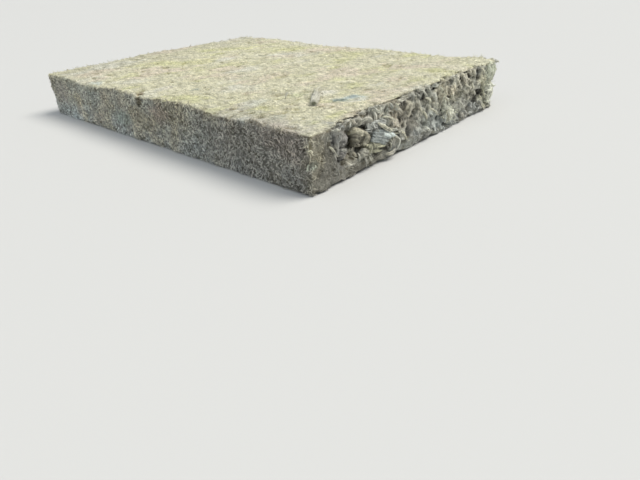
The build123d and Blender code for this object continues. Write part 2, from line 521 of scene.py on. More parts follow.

# %% Stains and painted light
# Stains and painted light: distance from the sawn end, from the front side and above the underside, half
# length along the grain, half width and half height, colour, strength
stains_and_painted_light = [
    # The top skin
    (0.215, 0.255, 0.09, 0.060, 0.034, 0.02, (0.97, 0.96, 0.62), 0.7),
    (0.170, 0.440, 0.09, 0.070, 0.014, 0.02, (1.04, 1.03, 0.66), 0.7),
    (0.664, 0.258, 0.09, 0.030, 0.020, 0.02, (0.96, 0.97, 0.64), 0.8),
    (0.660, 0.030, 0.09, 0.034, 0.016, 0.01, (0.98, 0.92, 0.60), 0.8),
    (0.683, 0.036, 0.09, 0.016, 0.012, 0.01, (0.86, 0.92, 0.66), 0.9),
    (0.618, 0.150, 0.09, 0.020, 0.014, 0.02, (0.92, 0.95, 0.68), 0.8),
    (0.745, 0.045, 0.09, 0.014, 0.010, 0.02, (0.90, 0.92, 0.62), 0.8),
    (0.726, 0.182, 0.09, 0.018, 0.012, 0.02, (1.04, 1.05, 1.03), 0.9),
    (0.697, 0.166, 0.09, 0.014, 0.011, 0.02, (0.84, 0.92, 0.93), 0.9),
    (0.707, 0.181, 0.09, 0.016, 0.011, 0.02, (0.82, 0.91, 0.93), 0.9),
    (0.716, 0.197, 0.09, 0.014, 0.010, 0.02, (0.84, 0.92, 0.95), 0.9),
    (0.703, 0.167, 0.09, 0.013, 0.010, 0.02, (0.42, 0.52, 0.52), 1.0),
    (0.698, 0.161, 0.09, 0.012, 0.010, 0.02, (0.34, 0.43, 0.43), 1.0),
    (0.706, 0.194, 0.09, 0.018, 0.010, 0.02, (0.50, 0.61, 0.66), 1.0),
    (0.657, 0.183, 0.09, 0.024, 0.016, 0.02, (1.10, 1.09, 1.06), 0.9),
    (0.590, 0.075, 0.09, 0.030, 0.022, 0.02, (0.96, 1.00, 0.98), 0.7),
    (0.245, 0.320, 0.09, 0.034, 0.018, 0.02, (1.06, 1.05, 1.00), 0.8),
    (0.428, 0.082, 0.09, 0.016, 0.010, 0.02, (0.72, 0.82, 0.82), 0.9),
    # The front side
    (0.645, 0.000, 0.089, 0.020, 0.014, 0.010, (1.14, 1.31, 1.32), 0.9),
    (0.423, 0.000, 0.063, 0.020, 0.032, 0.018, (1.08, 0.90, 0.82), 0.6),
    (0.295, 0.000, 0.036, 0.030, 0.032, 0.018, (0.86, 1.00, 0.98), 0.6),
    (0.736, 0.000, 0.075, 0.030, 0.036, 0.018, (0.86, 0.77, 0.76), 0.6),
    (0.740, 0.000, 0.025, 0.020, 0.022, 0.014, (0.80, 0.90, 0.98), 0.6),
    (0.727, 0.000, 0.085, 0.020, 0.012, 0.006, (0.90, 0.90, 0.66), 0.7),
    (0.047, 0.000, 0.054, 0.030, 0.034, 0.026, (1.04, 0.95, 0.92), 0.5),
    (0.189, 0.015, 0.090, 0.012, 0.024, 0.020, (0.86, 0.94, 0.98), 0.8),
    (0.162, 0.020, 0.090, 0.016, 0.004, 0.020, (0.62, 0.62, 0.56), 0.8),
    # These two are brown wool in the nick at the rim and in the pit below it, darkened further as painted
    # shade.
    (0.350, 0.013, 0.086, 0.007, 0.013, 0.020, (0.50, 0.42, 0.30), 1.0),
    (0.367, 0.000, 0.076, 0.007, 0.012, 0.012, (0.62, 0.56, 0.42), 0.9),
    (0.784, 0.000, 0.008, 0.012, 0.010, 0.018, (1.75, 1.75, 1.68), 1.0),
    (0.190, 0.005, 0.060, 0.020, 0.040, 0.03, (0.88, 0.97, 0.98), 0.4),
    # Painted shade: a broad darkening of the front's torn half, a fall-off of light painted into its colour.
    (0.690, 0.000, 0.050, 0.060, 0.200, 0.10, (0.78, 0.76, 0.74), 0.8),
    (0.740, 0.000, 0.070, 0.020, 0.080, 0.03, (0.80, 0.72, 0.68), 0.7),
    # The torn end
    (0.780, 0.056, 0.062, 0.026, 0.060, 0.034, (0.66, 0.68, 0.72), 0.9),
    (0.780, 0.064, 0.040, 0.022, 0.040, 0.028, (0.64, 0.65, 0.65), 0.8),
    (0.780, 0.045, 0.020, 0.026, 0.040, 0.030, (0.76, 0.77, 0.76), 0.8),
    (0.780, 0.362, 0.046, 0.018, 0.040, 0.013, (1.24, 1.22, 1.14), 0.8),
    (0.780, 0.535, 0.028, 0.016, 0.040, 0.016, (0.94, 0.94, 0.98), 0.8),
    # Painted shade in the dark slits low on the torn end, below the flap.
    (0.784, 0.183, 0.021, 0.007, 0.030, 0.0055, (0.30, 0.29, 0.24), 1.0),
    (0.784, 0.193, 0.024, 0.005, 0.030, 0.0055, (0.36, 0.35, 0.30), 1.0),
    (0.784, 0.149, 0.0175, 0.010, 0.030, 0.0035, (0.36, 0.35, 0.30), 1.0),
    (0.780, 0.268, 0.066, 0.026, 0.040, 0.018, (0.98, 0.95, 0.85), 0.9),
    (0.780, 0.525, 0.066, 0.020, 0.040, 0.014, (1.36, 1.32, 1.16), 0.8),
    (0.780, 0.313, 0.027, 0.026, 0.040, 0.014, (1.32, 1.34, 1.30), 0.8),
    (0.780, 0.305, 0.000, 0.050, 0.040, 0.013, (0.58, 0.61, 0.62), 0.9),
    (0.780, 0.313, 0.047, 0.026, 0.040, 0.010, (1.32, 1.31, 1.24), 0.8),
    # Painted light over the shade under the rim above the fist, then painted shade below the fist.
    (0.780, 0.137, 0.072, 0.020, 0.030, 0.011, (1.36, 1.34, 1.28), 0.8),
    (0.782, 0.098, 0.043, 0.009, 0.020, 0.008, (0.30, 0.30, 0.26), 1.0),
    (0.780, 0.420, 0.050, 0.060, 0.040, 0.016, (1.16, 1.14, 1.04), 0.8),
    # Painted shade in the dark hollow below and beside the back flap.
    (0.780, 0.492, 0.014, 0.030, 0.040, 0.022, (0.80, 0.85, 0.90), 0.8),
    (0.780, 0.370, 0.022, 0.110, 0.040, 0.026, (0.88, 0.95, 1.00), 0.7),
    (0.780, 0.560, 0.056, 0.040, 0.060, 0.060, (1.18, 1.17, 0.97), 0.9),
    (0.790, 0.015, 0.040, 0.050, 0.020, 0.080, (0.78, 0.74, 0.62), 0.9),
    (0.790, 0.120, 0.000, 0.100, 0.020, 0.022, (0.66, 0.64, 0.58), 0.9),
    # Painted highlight: a pale streak down the upright corner between the front side and the knife-cut face.
    (0.784, 0.000, 0.078, 0.012, 0.009, 0.016, (1.80, 1.74, 1.48), 1.0),
    (0.784, 0.030, 0.014, 0.036, 0.020, 0.026, (0.74, 0.73, 0.69), 0.9),
    (0.784, 0.014, 0.062, 0.016, 0.020, 0.020, (1.08, 1.03, 0.84), 0.8),
    (0.786, 0.012, 0.072, 0.014, 0.030, 0.020, (1.10, 1.06, 0.92), 0.9),
    (0.785, 0.245, 0.008, 0.040, 0.060, 0.010, (1.14, 1.19, 1.19), 0.9),
    (0.784, 0.034, 0.050, 0.012, 0.030, 0.040, (0.66, 0.64, 0.60), 0.7),
    (0.783, 0.004, 0.046, 0.010, 0.007, 0.008, (0.92, 1.00, 0.92), 1.0),
    # The top skin again, over those of the rim
    (0.700, 0.340, 0.09, 0.040, 0.022, 0.02, (1.04, 0.95, 0.85), 0.8),
    (0.640, 0.330, 0.09, 0.036, 0.020, 0.02, (0.98, 0.98, 0.72), 0.6),
    (0.750, 0.480, 0.09, 0.034, 0.110, 0.03, (1.04, 1.00, 0.88), 0.9),
    (0.732, 0.385, 0.09, 0.034, 0.070, 0.03, (1.03, 1.00, 0.87), 0.8),
    (0.480, 0.250, 0.09, 0.044, 0.024, 0.02, (1.04, 0.95, 0.84), 0.7),
    (0.330, 0.180, 0.09, 0.040, 0.026, 0.02, (0.98, 0.98, 0.72), 0.6),
]
print(len(stains_and_painted_light), "stains_and_painted_light")

# %% Colour of the wool at a point
top_brightness = 1.16
# Painted shade: the top is less bright close to the sawn end, a fall-off of light painted into it.
sawn_top_dimming = 0.16  # the top is less bright close to the sawn end
# Painted light: the sides are brightest at the sawn half and dim towards the torn end, a painted fall-off.
core_brightness = 1.36  # of the sides at the sawn half
torn_dimming = 0.30  # less of it towards the torn end
sawn_dimming = 0.20  # and right at the sawn end
# Paler at the foot of the sides is painted light against the floor's shade; bluer is a colour shift.
low_part = 0.050  # the lower part of the sides is a little paler and bluer
low_shift = np.array([-0.03, 0.0, 0.08])
stain_rag = 0.35  # how ragged the edges of the stains are


def blend_towards(tint, share, colour):
    """Moves each colour towards another by its share."""
    return tint + share[:, None] * (np.asarray(colour) - tint)


def wool_tint(points, top):
    """Colour that the wool's base colour is multiplied by. top is 1 on the top skin and 0 inside the batt."""
    top = np.broadcast_to(top, len(points))
    grained = along_grain(points)
    first = grain_noise(grained, 0.090, 0.055, 31) + 0.5 * grain_noise(grained, 0.034, 0.018, 32)
    second = grain_noise(grained, 0.080, 0.045, 33) + 0.5 * grain_noise(grained, 0.030, 0.016, 34)
    skin = np.tile(cream, (len(points), 1))
    skin = blend_towards(skin, ease(first, 0.1, 0.9), straw)
    skin = blend_towards(skin, ease(-first, 0.2, 0.9), chalk)
    skin = blend_towards(skin, ease(second, 0.1, 0.8), rose)
    skin *= (top_brightness - sawn_top_dimming * fade(sawn_distance(points), 0.03, 0.18))[:, None]

    core = np.tile(grey, (len(points), 1))
    core = blend_towards(core, ease(first, 0.0, 0.7), tan)
    core = blend_towards(core, 0.5 * ease(-first, 0.1, 0.8) * (1 - torn_share(points)), slate)
    core = blend_towards(core, 0.5 * ease(second, 0.3, 0.9), umber)
    patch = wool_noise(points, 0.026, 37)
    core = blend_towards(core, 0.4 * ease(patch, 0.2, 0.8), slate * 1.04)
    core = blend_towards(core, 0.4 * ease(-patch, 0.2, 0.8), rose * 0.98)
    dimming = torn_dimming * ease(sawn_distance(points), 0.10, 0.55)
    core *= (core_brightness - dimming - sawn_dimming * fade(sawn_distance(points), 0.0, 0.05))[:, None]
    low = fade(points[:, 2], 0.010, low_part)
    sawn = ease(torn_x - points[:, 0], 0.02, 0.05)
    core *= 1 + low[:, None] * (low_shift + 0.15 * sawn[:, None])

    tint = core + top[:, None] * (skin - core)
    bright = 1 + (top_brightness - 1) * top[:, None]
    ragged = stain_rag * wool_noise(points, 0.010, 35)
    for station, from_front, height, half_length, half_width, half_height, colour, strength in stains_and_painted_light:
        reach = grain_reach(points, station, from_front, half_length, half_width)
        reach = np.hypot(reach, (points[:, 2] - height) / half_height) + ragged
        tint = blend_towards(tint, strength * fade(reach, 0.4, 1.2), np.array(colour) * bright)
    return tint


print("mean top tint", wool_tint(felt_points[felt_normals[:, 2] > 0.9], 1).mean(axis=0))

# %% [markdown]
# The skin between the flakes of a sawn side is darker than they are: painted shade, for the gaps that the
# flakes shade. The knife-cut face gets a lighter painted shade, and the back side is lifted, partly as
# painted light. Under the rim of the top runs a dark brown line at the torn half and a pale one at the
# sawn half. The torn hollows and the pits of the top are darker still, which is painted shade too.

# %% Colour of the rim
rim_line = 0.007
soft_rim_line = 0.020
pale_rim_station = 0.643  # the brown line is broken here, from the sawn end
pale_rim_reach = 0.024
sawn_half_end, torn_half_start = 0.10, 0.36
rim_brown = np.array([0.56, 0.50, 0.40])
rim_brown_strength, pale_strength = 0.9, 0.75


def rim_tint(points, depth, tints, share):
    """The colours with a band under the rim: dark brown at the torn half, pale and wider at the sawn half."""
    station = sawn_distance(points)
    torn_half = ease(station, sawn_half_end, torn_half_start)
    torn_half *= ease(np.abs(station - pale_rim_station), 0.3 * pale_rim_reach, pale_rim_reach)
    rim = fade(depth, 0, soft_rim_line + (rim_line - soft_rim_line) * torn_half)
    tints = blend_towards(tints, rim_brown_strength * share * rim * torn_half, rim_brown)
    sawn_half = fade(station, sawn_half_end, torn_half_start)
    return blend_towards(tints, pale_strength * share * rim * sawn_half, cream)


rim_sample = on_batt(0.7, 0, 0.09)[None]
print("rim at the torn half:", rim_tint(rim_sample, np.zeros(1), np.ones((1, 3)), 1))

# %% Colour of the skin
top_skin_depth = 0.012
# Painted shade on the side skin below the rim, lighter on the knife-cut face, lifted on the back.
side_shade = 0.44
cut_shade = 0.56
back_lift = 0.22  # what the back gains on the front side
hollow_shade = np.array([0.50, 0.47, 0.38])
pit_shade = np.array([0.58, 0.56, 0.43])

depth_below = below_top(felt_points)
on_top = ease(felt_normals[:, 2], 0.35, 0.75) * (depth_below < top_skin_depth)
torn = torn_share(felt_points) * (1 - on_top)
skin_tint = rim_tint(felt_points, depth_below, wool_tint(felt_points, on_top), (1 - on_top) * (1 - torn))
cut = ease(felt_normals[:, 0], 0.3, 0.7)
beside = ease(depth_below, 0, rim_line) * (1 - on_top)
turned_away = ease(felt_normals[:, 1], 0.3, 0.7)
# Painted shade between the flakes; the back side's lift is partly painted light.
shades_beside = side_shade + (cut_shade - side_shade) * cut + back_lift * turned_away
skin_tint *= (1 - beside * (1 - shades_beside))[:, None]
# Painted shade in the hollows and pits of the skin and on the sunk felt of the torn end.
shade_inside = np.where(on_top[:, None] > 0.5, pit_shade, hollow_shade)
skin_tint *= 1 - np.clip(hollow, 0, 1)[:, None] * (1 - shade_inside)
print("mean skin tint", skin_tint.mean(axis=0))

# %% Fewer triangles where the skin is plain
felt = write_mesh("felt", felt_points, felt_faces)
tint_mesh(felt, skin_tint)
felt = modified_mesh(felt, "DECIMATE", ratio=min(1.0, body_triangles / len(felt_faces)))
skin_points, skin_normals, skin_faces = read_mesh(felt)
print("felt skin:", len(skin_faces), "triangles")

# %% [markdown]
# ## The wool material
#
# One function makes the material for every kind of wool on the batt. It starts from a base colour,
# darkens and lightens it with two sizes of speckle, and multiplies it by the colour stored on the points.
# The same speckle drives a fine bump. Wool has no gloss, so roughness is high and specular is low.

# %% Wool material
wool_finish = {"Roughness": 0.95, "Specular IOR Level": 0.15, "Sheen Weight": 0.15, "Sheen Roughness": 0.6}
speckle_low, speckle_high = 0.30, 0.62  # where the noise is darkest and lightest


def multiplied(nodes, links, colour, factor):
    """A colour, given as numbers or as a node's output, times a node's output."""
    blend = nodes.new("ShaderNodeMix")
    blend.data_type = "RGBA"
    blend.blend_type = "MULTIPLY"
    blend.inputs["Factor"].default_value = 1
    if isinstance(colour, tuple):
        blend.inputs["A"].default_value = (*colour, 1)
    else:
        links.new(colour, blend.inputs["A"])
    links.new(factor, blend.inputs["B"])
    return blend.outputs["Result"]


def wool_material(name, base, speckle_size, speckle_depth, bump_height, streak=1.0):
    """A procedural wool finish. Sizes are in metres, and streak draws the speckles out along the grain."""
    material = bpy.data.materials.new(name)
    material.use_nodes = True
    nodes, links = material.node_tree.nodes, material.node_tree.links
    shader = nodes["Principled BSDF"]
    for socket, value in wool_finish.items():
        shader.inputs[socket].default_value = value

    place = nodes.new("ShaderNodeTexCoord")
    turn = nodes.new("ShaderNodeMapping")
    turn.inputs["Rotation"].default_value = (0, 0, -grain)
    turn.inputs["Scale"].default_value = (1 / streak, 1, 1)
    links.new(place.outputs["Object"], turn.inputs["Vector"])

    speckles = []
    for size, detail, distortion in ((speckle_size * 3, 2, 0.5), (speckle_size, 3, 2.2)):
        noise = nodes.new("ShaderNodeTexNoise")
        noise.inputs["Scale"].default_value = 1 / size
        noise.inputs["Detail"].default_value = detail
        noise.inputs["Distortion"].default_value = distortion
        links.new(turn.outputs["Vector"], noise.inputs["Vector"])
        speckles.append(noise)

    colour = base
    for noise, depth in zip(speckles, (speckle_depth * 0.45, speckle_depth)):
        ramp = nodes.new("ShaderNodeValToRGB")
        low, high = ramp.color_ramp.elements
        low.position, high.position = speckle_low, speckle_high
        low.color = (1 - depth, 1 - depth, 1 - depth * 1.1, 1)
        high.color = (1 + depth * 0.4, 1 + depth * 0.4, 1 + depth * 0.4, 1)
        links.new(noise.outputs["Fac"], ramp.inputs["Fac"])
        colour = multiplied(nodes, links, colour, ramp.outputs["Color"])

    stored = nodes.new("ShaderNodeAttribute")
    stored.attribute_name = "tint"
    tinted = multiplied(nodes, links, colour, stored.outputs["Color"])
    links.new(tinted, shader.inputs["Base Color"])

    bump = nodes.new("ShaderNodeBump")
    bump.inputs["Distance"].default_value = bump_height
    links.new(speckles[1].outputs["Fac"], bump.inputs["Height"])
    links.new(bump.outputs["Normal"], shader.inputs["Normal"])
    print("material", name, "with", len(nodes), "nodes")
    return material


# %% Put the felt in the scene
wool_base = (0.615, 0.605, 0.55)
felt_material = wool_material(
    "felt", wool_base, speckle_size=0.0030, speckle_depth=0.62, bump_height=0.0040, streak=2.2
)
batt_felt = add_wool("batt_felt", felt, felt_material)
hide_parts("batt")

# %% [markdown]
# ## Flakes and fibres
#
# Every loose strand is a thin closed tube along a curl. Thousands of separate objects would be slow, so
# one function takes all the curls of a group as one array and returns a single joined mesh. A strand
# starts at a point of the skin, sets off in some direction and turns steadily about its own axis, as a
# hair does.


# %% Curls from arrays
def turned_by(vectors, axes, angles):
    """Vectors turned about unit axes by angles."""
    cosine, sine = np.cos(angles)[..., None], np.sin(angles)[..., None]
    along = np.sum(vectors * axes, axis=-1, keepdims=True) * axes
    return vectors * cosine + np.cross(axes, vectors) * sine + along * (1 - cosine)


def unit(vectors):
    """Vectors scaled to length 1."""
    return vectors / np.maximum(np.linalg.norm(vectors, axis=-1, keepdims=True), 1e-9)


def curls(roots, headings, axes, lengths, bends, steps):
    """Centre lines: from each root along its heading, turning about its axis by its bend, in radians."""
    line = [roots]
    for step in range(steps):
        share = (step + 0.5) / steps
        line.append(line[-1] + turned_by(headings, axes, bends * share) * (lengths / steps)[:, None])
    return np.stack(line, axis=1)


print("unit check:", unit(np.array([[3.0, 0.0, 4.0]])))


# %% Tubes round the curls
def sides_of(lines):
    """Two directions square to each line at each of its points, turned at random about it."""
    ahead = unit(np.gradient(lines, axis=1))
    across = unit(np.cross(ahead, unit(rng.normal(size=(len(lines), 1, 3)))))
    return across, np.cross(ahead, across)


def strand_mesh(name, lines, radii, tints, sides=3, flatness=1.0):
    """One closed tube for each centre line, joined into one mesh, with a radius for each of its points."""
    count, steps = lines.shape[:2]
    across, above = sides_of(lines)
    corner = np.arange(sides)
    angles = 2 * np.pi * corner[:, None] / sides
    ring = np.cos(angles) * across[:, :, None] + flatness * np.sin(angles) * above[:, :, None]
    points = lines[:, :, None] + radii[:, :, None, None] * ring

    following = (corner + 1) % sides
    tube = []
    for step in range(steps - 1):
        near, far = step * sides, (step + 1) * sides
        tube.append(np.c_[near + corner, near + following, far + following])
        tube.append(np.c_[near + corner, far + following, far + corner])
    last = (steps - 1) * sides
    for middle in range(1, sides - 1):
        tube.append([[0, middle + 1, middle]])
        tube.append([[last, last + middle, last + middle + 1]])
    tube = np.concatenate(tube)
    triangles = (np.arange(count)[:, None, None] * steps * sides + tube).reshape(-1, 3)
    mesh = write_mesh(name, points.reshape(-1, 3), triangles)
    tint_mesh(mesh, np.repeat(tints, steps * sides, axis=0))
    return mesh


# %% [markdown]
# Strands have to start on the wool, so their roots are drawn from the triangles of the felt skin, each
# with a chance that goes with its area and with a weight that says where this kind of strand belongs.

# %% Roots on the skin
skin_corners = skin_points[skin_faces]
skin_areas = np.linalg.norm(
    np.cross(skin_corners[:, 1] - skin_corners[:, 0], skin_corners[:, 2] - skin_corners[:, 0]), axis=1
)
skin_middles = skin_corners.mean(axis=1)
skin_facing = unit(skin_normals[skin_faces].mean(axis=1))


def roots_on_skin(count, weight):
    """Random points of the skin and the normals there."""
    chance = skin_areas * weight
    chosen = rng.choice(len(skin_faces), count, p=chance / chance.sum())
    share = rng.random((count, 2))
    over = share.sum(axis=1) > 1
    share[over] = 1 - share[over]
    corners = skin_corners[chosen]
    points = corners[:, 0] + share[:, :1] * (corners[:, 1] - corners[:, 0])
    points = points + share[:, 1:] * (corners[:, 2] - corners[:, 0])
    return points, skin_facing[chosen]


def flat_heading(normals):
    """Random directions that lie in the skin."""
    return unit(np.cross(normals, rng.normal(size=normals.shape)))


def strand_tints(points, top, low, high):
    """The wool's colour at these points, each strand a little lighter or darker."""
    return wool_tint(points, top) * rng.uniform(low, high, (len(points), 1))


print("skin area", skin_areas.sum() / 2, "square metres")

# %% Where each kind of strand belongs
faces_up = ease(skin_facing[:, 2], 0.5, 0.8) * (below_top(skin_middles) < top_skin_depth)
faces_torn = torn_share(skin_middles) * (1 - faces_up) * (skin_facing[:, 2] > -0.7)
faces_front = ease(-skin_facing[:, 1], 0.5, 0.8)
faces_back = ease(skin_facing[:, 1], 0.5, 0.8)
faces_sawn = ease(-skin_facing[:, 0], 0.5, 0.8)
faces_knife = ease(skin_facing[:, 0], 0.5, 0.8) * (1 - torn_share(skin_middles))
faces_rim = 4 * faces_up * (1 - faces_up) * (skin_middles[:, 2] > 0.06)
print("faces up:", (faces_up > 0.5).sum(), "torn:", (faces_torn > 0.5).sum(), "rim:", (faces_rim > 0.5).sum())

# %% [markdown]
# ### Flakes on the sawn sides
#
# A saw leaves short curled flakes, light against the gaps between them. Each flake is a short three-sided
# tube that bends by up to nearly half a turn and lies almost flat on the face, with one end a little
# lifted.

# %% Finish of loose strands
flake_share = 1.0
flake_material = wool_material(
    "flakes", wool_base, speckle_size=0.0020, speckle_depth=0.12, bump_height=0.0004
)


def add_strands(name, lines, radii, tints, material=flake_material, **tube):
    """A piece of the batt made of strands."""
    return add_wool(name, strand_mesh(name, lines, radii, tints, **tube), material)


# %% Flakes of a sawn side
flake_taper = np.array([0.8, 1.1, 1.0, 0.4])
flake_length, flake_bend, flake_radius = (0.0035, 0.009), (0.4, 2.6), (0.00036, 0.00076)
flake_lift = 0.30  # the most that a flake rises for each step along the side
flake_gap = 0.0001  # between a flake's root and the side
flake_clearance = 0.0009  # least height of a flake's centre line


def side_flakes(name, count, weight, size=1.0, spread=0.50, middle=1.0):
    """Short curled flakes on the weighted part of the skin, which follow each other in swirls."""
    count = int(count * flake_share)
    roots, normals = roots_on_skin(count, weight)
    level = unit(np.cross((0, 0, 1), normals))
    flow = np.pi * wool_noise(roots, 0.045, 36) + rng.normal(0, 0.8, count)
    headings = np.cos(flow)[:, None] * level + np.sin(flow)[:, None] * np.cross(normals, level)
    headings = unit(headings + normals * rng.uniform(0.0, flake_lift, (count, 1)))
    axes = unit(normals * rng.choice([-1, 1], (count, 1)) + 0.45 * rng.normal(size=normals.shape))
    lengths = size * rng.uniform(*flake_length, count)
    lengths = lengths * (0.7 + 0.3 * ease(sawn_distance(roots), 0.25, 0.50))
    bends = rng.uniform(*flake_bend, count)
    lines = curls(roots + normals * flake_gap, headings, axes, lengths, bends, len(flake_taper) - 1)
    lines[:, :, 2] = np.maximum(lines[:, :, 2], flake_clearance * size)
    thickness = size * rng.uniform(*flake_radius, (count, 1)) * flake_taper
    near_torn = 0.65 + 0.35 * ease(sawn_distance(roots), 0.30, 0.60)
    shade = rng.uniform(-0.9, 1.1, count) + 0.5 * wool_noise(roots, 0.012, 38)
    tints = wool_tint(roots, 0) * (middle + spread * near_torn * shade)[:, None]
    add_strands(name, lines, thickness, rim_tint(roots, below_top(roots), tints, 0.8))


back_flake_top = 0.088
out_of_pits = 1 - ease(front_pit(skin_middles), 0.0005, 0.003)
side_flakes("front_flakes", 7600, faces_front * out_of_pits)
below_rim = skin_middles[:, 2] < back_flake_top
side_flakes("back_flakes", 3300, faces_back * below_rim, size=1.25, spread=0.30, middle=0.90)
side_flakes("sawn_end_flakes", 2100, faces_sawn, size=1.25, spread=0.36, middle=0.92)
side_flakes("knife_cut_flakes", 400, faces_knife, size=1.0, spread=0.12, middle=0.72)

# %% Upright curls beside the nick
# Distance from the sawn end and height of each curl's foot, and how far it leans along the side
nick_curls = [
    (0.309, 0.064, 0.003),
    (0.315, 0.067, -0.002),
    (0.319, 0.063, 0.004),
    (0.326, 0.066, 0.002),
    (0.330, 0.063, 0.005),
    (0.341, 0.067, 0.003),
    (0.346, 0.072, 0.006),
    (0.353, 0.074, 0.007),
]
curl_rise = 0.013
curl_gap, curl_bow = 0.0012, 0.0022  # how far they stand off the side at their ends, and more at the middle
curl_taper = np.array([0.8, 1.0, 1.1, 1.0, 0.8, 0.4])
nick_radius = 0.0006, 0.0010


def nick_line(station, foot, lean):
    """The centre line of one upright curl."""
    shares = np.linspace(0, 1, len(curl_taper))
    stand = -curl_gap - curl_bow * np.sin(np.pi * shares)
    places = zip(station + lean * shares**2, stand, foot + curl_rise * shares)
    return [on_batt(*place) for place in places]


nick_lines = np.array([nick_line(*curl) for curl in nick_curls])
nick_tints = strand_tints(nick_lines[:, 2], 0, 0.95, 1.25)
nick_widths = rng.uniform(*nick_radius, (len(nick_curls), 1)) * curl_taper
add_strands("nick_curls", nick_lines, nick_widths, nick_tints, sides=5)

# %% [markdown]
# ### Flakes and fibres of the top skin
#
# The top was pressed flat in the oven that set the binder, so its fibres lie down in a felt of short,
# blunt flakes. Only along the rim do they stand free, and there they give the outline its fuzz.

# %% Top flakes
pressed_taper = np.array([0.6, 1.1, 1.0, 0.4])
pressed_length, pressed_bend, pressed_radius = (0.004, 0.010), (0.0, 1.6), (0.00040, 0.00085)
pressed_in = 0.0002  # how deep their roots lie in the skin


def top_flakes(count):
    """Short flakes pressed into the top skin."""
    roots, normals = roots_on_skin(count, faces_up)
    wander = rng.normal(grain, 0.8, count)
    headings = np.c_[np.cos(wander), np.sin(wander), np.zeros(count)] * rng.choice([-1, 1], (count, 1))
    headings = unit(headings - normals * np.sum(headings * normals, axis=1, keepdims=True))
    headings = unit(headings + normals * rng.uniform(-0.02, 0.14, (count, 1)))
    axes = unit(normals * rng.choice([-1, 1], (count, 1)) + 0.2 * rng.normal(size=normals.shape))
    lengths, bends = rng.uniform(*pressed_length, count), rng.uniform(*pressed_bend, count)
    lines = curls(roots - normals * pressed_in, headings, axes, lengths, bends, len(pressed_taper) - 1)
    thickness = rng.uniform(*pressed_radius, (count, 1)) * pressed_taper
    add_strands("top_flakes", lines, thickness, strand_tints(roots, 1, 0.70, 1.26), flatness=0.7)


top_flakes(int(5000 * flake_share))

# %% Fuzz of the rim
fuzz_taper = np.array([1.0, 1.0, 0.9, 0.7, 0.3])
fuzz_length, fuzz_bend, fuzz_radius = (0.003, 0.008), (0.5, 2.4), (0.00025, 0.00055)


def rim_fuzz(count):
    """Short free curls along the rim of the top."""
    roots, normals = roots_on_skin(count, faces_rim)
    headings = unit(normals + 0.9 * rng.normal(size=normals.shape))
    lengths = rng.uniform(*fuzz_length, count)
    axes = unit(rng.normal(size=normals.shape))
    lines = curls(roots, headings, axes, lengths, rng.uniform(*fuzz_bend, count), len(fuzz_taper) - 1)
    thickness = rng.uniform(*fuzz_radius, (count, 1)) * fuzz_taper
    add_strands("rim_fuzz", lines, thickness, strand_tints(roots, 0.8, 0.85, 1.2))


rim_fuzz(int(1100 * flake_share))

# %% [markdown]
# ## The torn end
#
# Torn wool parts along its layers. What stays is a net of pale ridges and locks with dark pits between
# them, and deep inside it looks almost black. The felt was left a little sunk here, and the net is made
# in three layers over it. The first is a slab of the torn face, pushed in and out by ridged noise: one
# minus the size of a smooth noise is sharp and high along lines and falls off to both sides, just as torn
# layers do.

# %% Pits and humps of the torn face
# Placed pits: distance from the front side, height, half width, half height, depth
torn_pits = [
    (0.072, 0.082, 0.006, 0.004, 0.004),
    (0.099, 0.082, 0.009, 0.006, 0.008),
    (0.112, 0.088, 0.012, 0.004, 0.006),
    (0.143, 0.081, 0.014, 0.004, 0.006),
    (0.050, 0.063, 0.005, 0.004, 0.005),
    (0.062, 0.037, 0.009, 0.006, 0.008),
    (0.052, 0.052, 0.006, 0.005, 0.006),
    (0.077, 0.029, 0.010, 0.006, 0.008),
    (0.090, 0.055, 0.005, 0.006, 0.006),
    (0.141, 0.053, 0.009, 0.006, 0.008),
    (0.166, 0.018, 0.007, 0.0045, 0.009),
    (0.179, 0.025, 0.006, 0.0065, 0.010),
    (0.191, 0.022, 0.006, 0.0075, 0.010),
    (0.149, 0.017, 0.010, 0.0035, 0.006),
    (0.119, 0.035, 0.016, 0.007, 0.009),
    (0.101, 0.053, 0.006, 0.014, 0.008),
    (0.545, 0.080, 0.006, 0.014, 0.009),
    (0.221, 0.030, 0.008, 0.009, 0.008),
    (0.225, 0.042, 0.006, 0.005, 0.006),
    (0.241, 0.079, 0.010, 0.005, 0.006),
    (0.270, 0.049, 0.007, 0.005, 0.005),
    (0.278, 0.058, 0.007, 0.005, 0.005),
    (0.303, 0.067, 0.008, 0.006, 0.007),
    (0.344, 0.082, 0.012, 0.005, 0.008),
    (0.352, 0.062, 0.012, 0.005, 0.006),
    (0.376, 0.037, 0.012, 0.007, 0.007),
    (0.337, 0.009, 0.012, 0.005, 0.005),
    (0.386, 0.008, 0.010, 0.003, 0.004),
    (0.391, 0.059, 0.013, 0.006, 0.009),
    (0.401, 0.084, 0.009, 0.005, 0.006),
    (0.427, 0.064, 0.009, 0.005, 0.006),
    (0.442, 0.051, 0.012, 0.006, 0.009),
    (0.448, 0.076, 0.010, 0.005, 0.006),
    (0.473, 0.091, 0.010, 0.005, 0.008),
    (0.499, 0.074, 0.010, 0.006, 0.007),
    (0.518, 0.036, 0.022, 0.014, 0.009),
    (0.490, 0.020, 0.022, 0.012, 0.007),
    (0.480, 0.011, 0.014, 0.004, 0.006),
    (0.545, 0.086, 0.007, 0.008, 0.006),
    (0.515, 0.084, 0.007, 0.004, 0.005),
    (0.518, 0.069, 0.006, 0.006, 0.005),
    (0.482, 0.081, 0.008, 0.005, 0.005),
    (0.335, 0.085, 0.006, 0.005, 0.005),
    (0.238, 0.080, 0.008, 0.005, 0.005),
    (0.208, 0.072, 0.007, 0.005, 0.005),
    (0.582, 0.047, 0.007, 0.005, 0.006),
    (0.101, 0.040, 0.010, 0.008, 0.009),
]

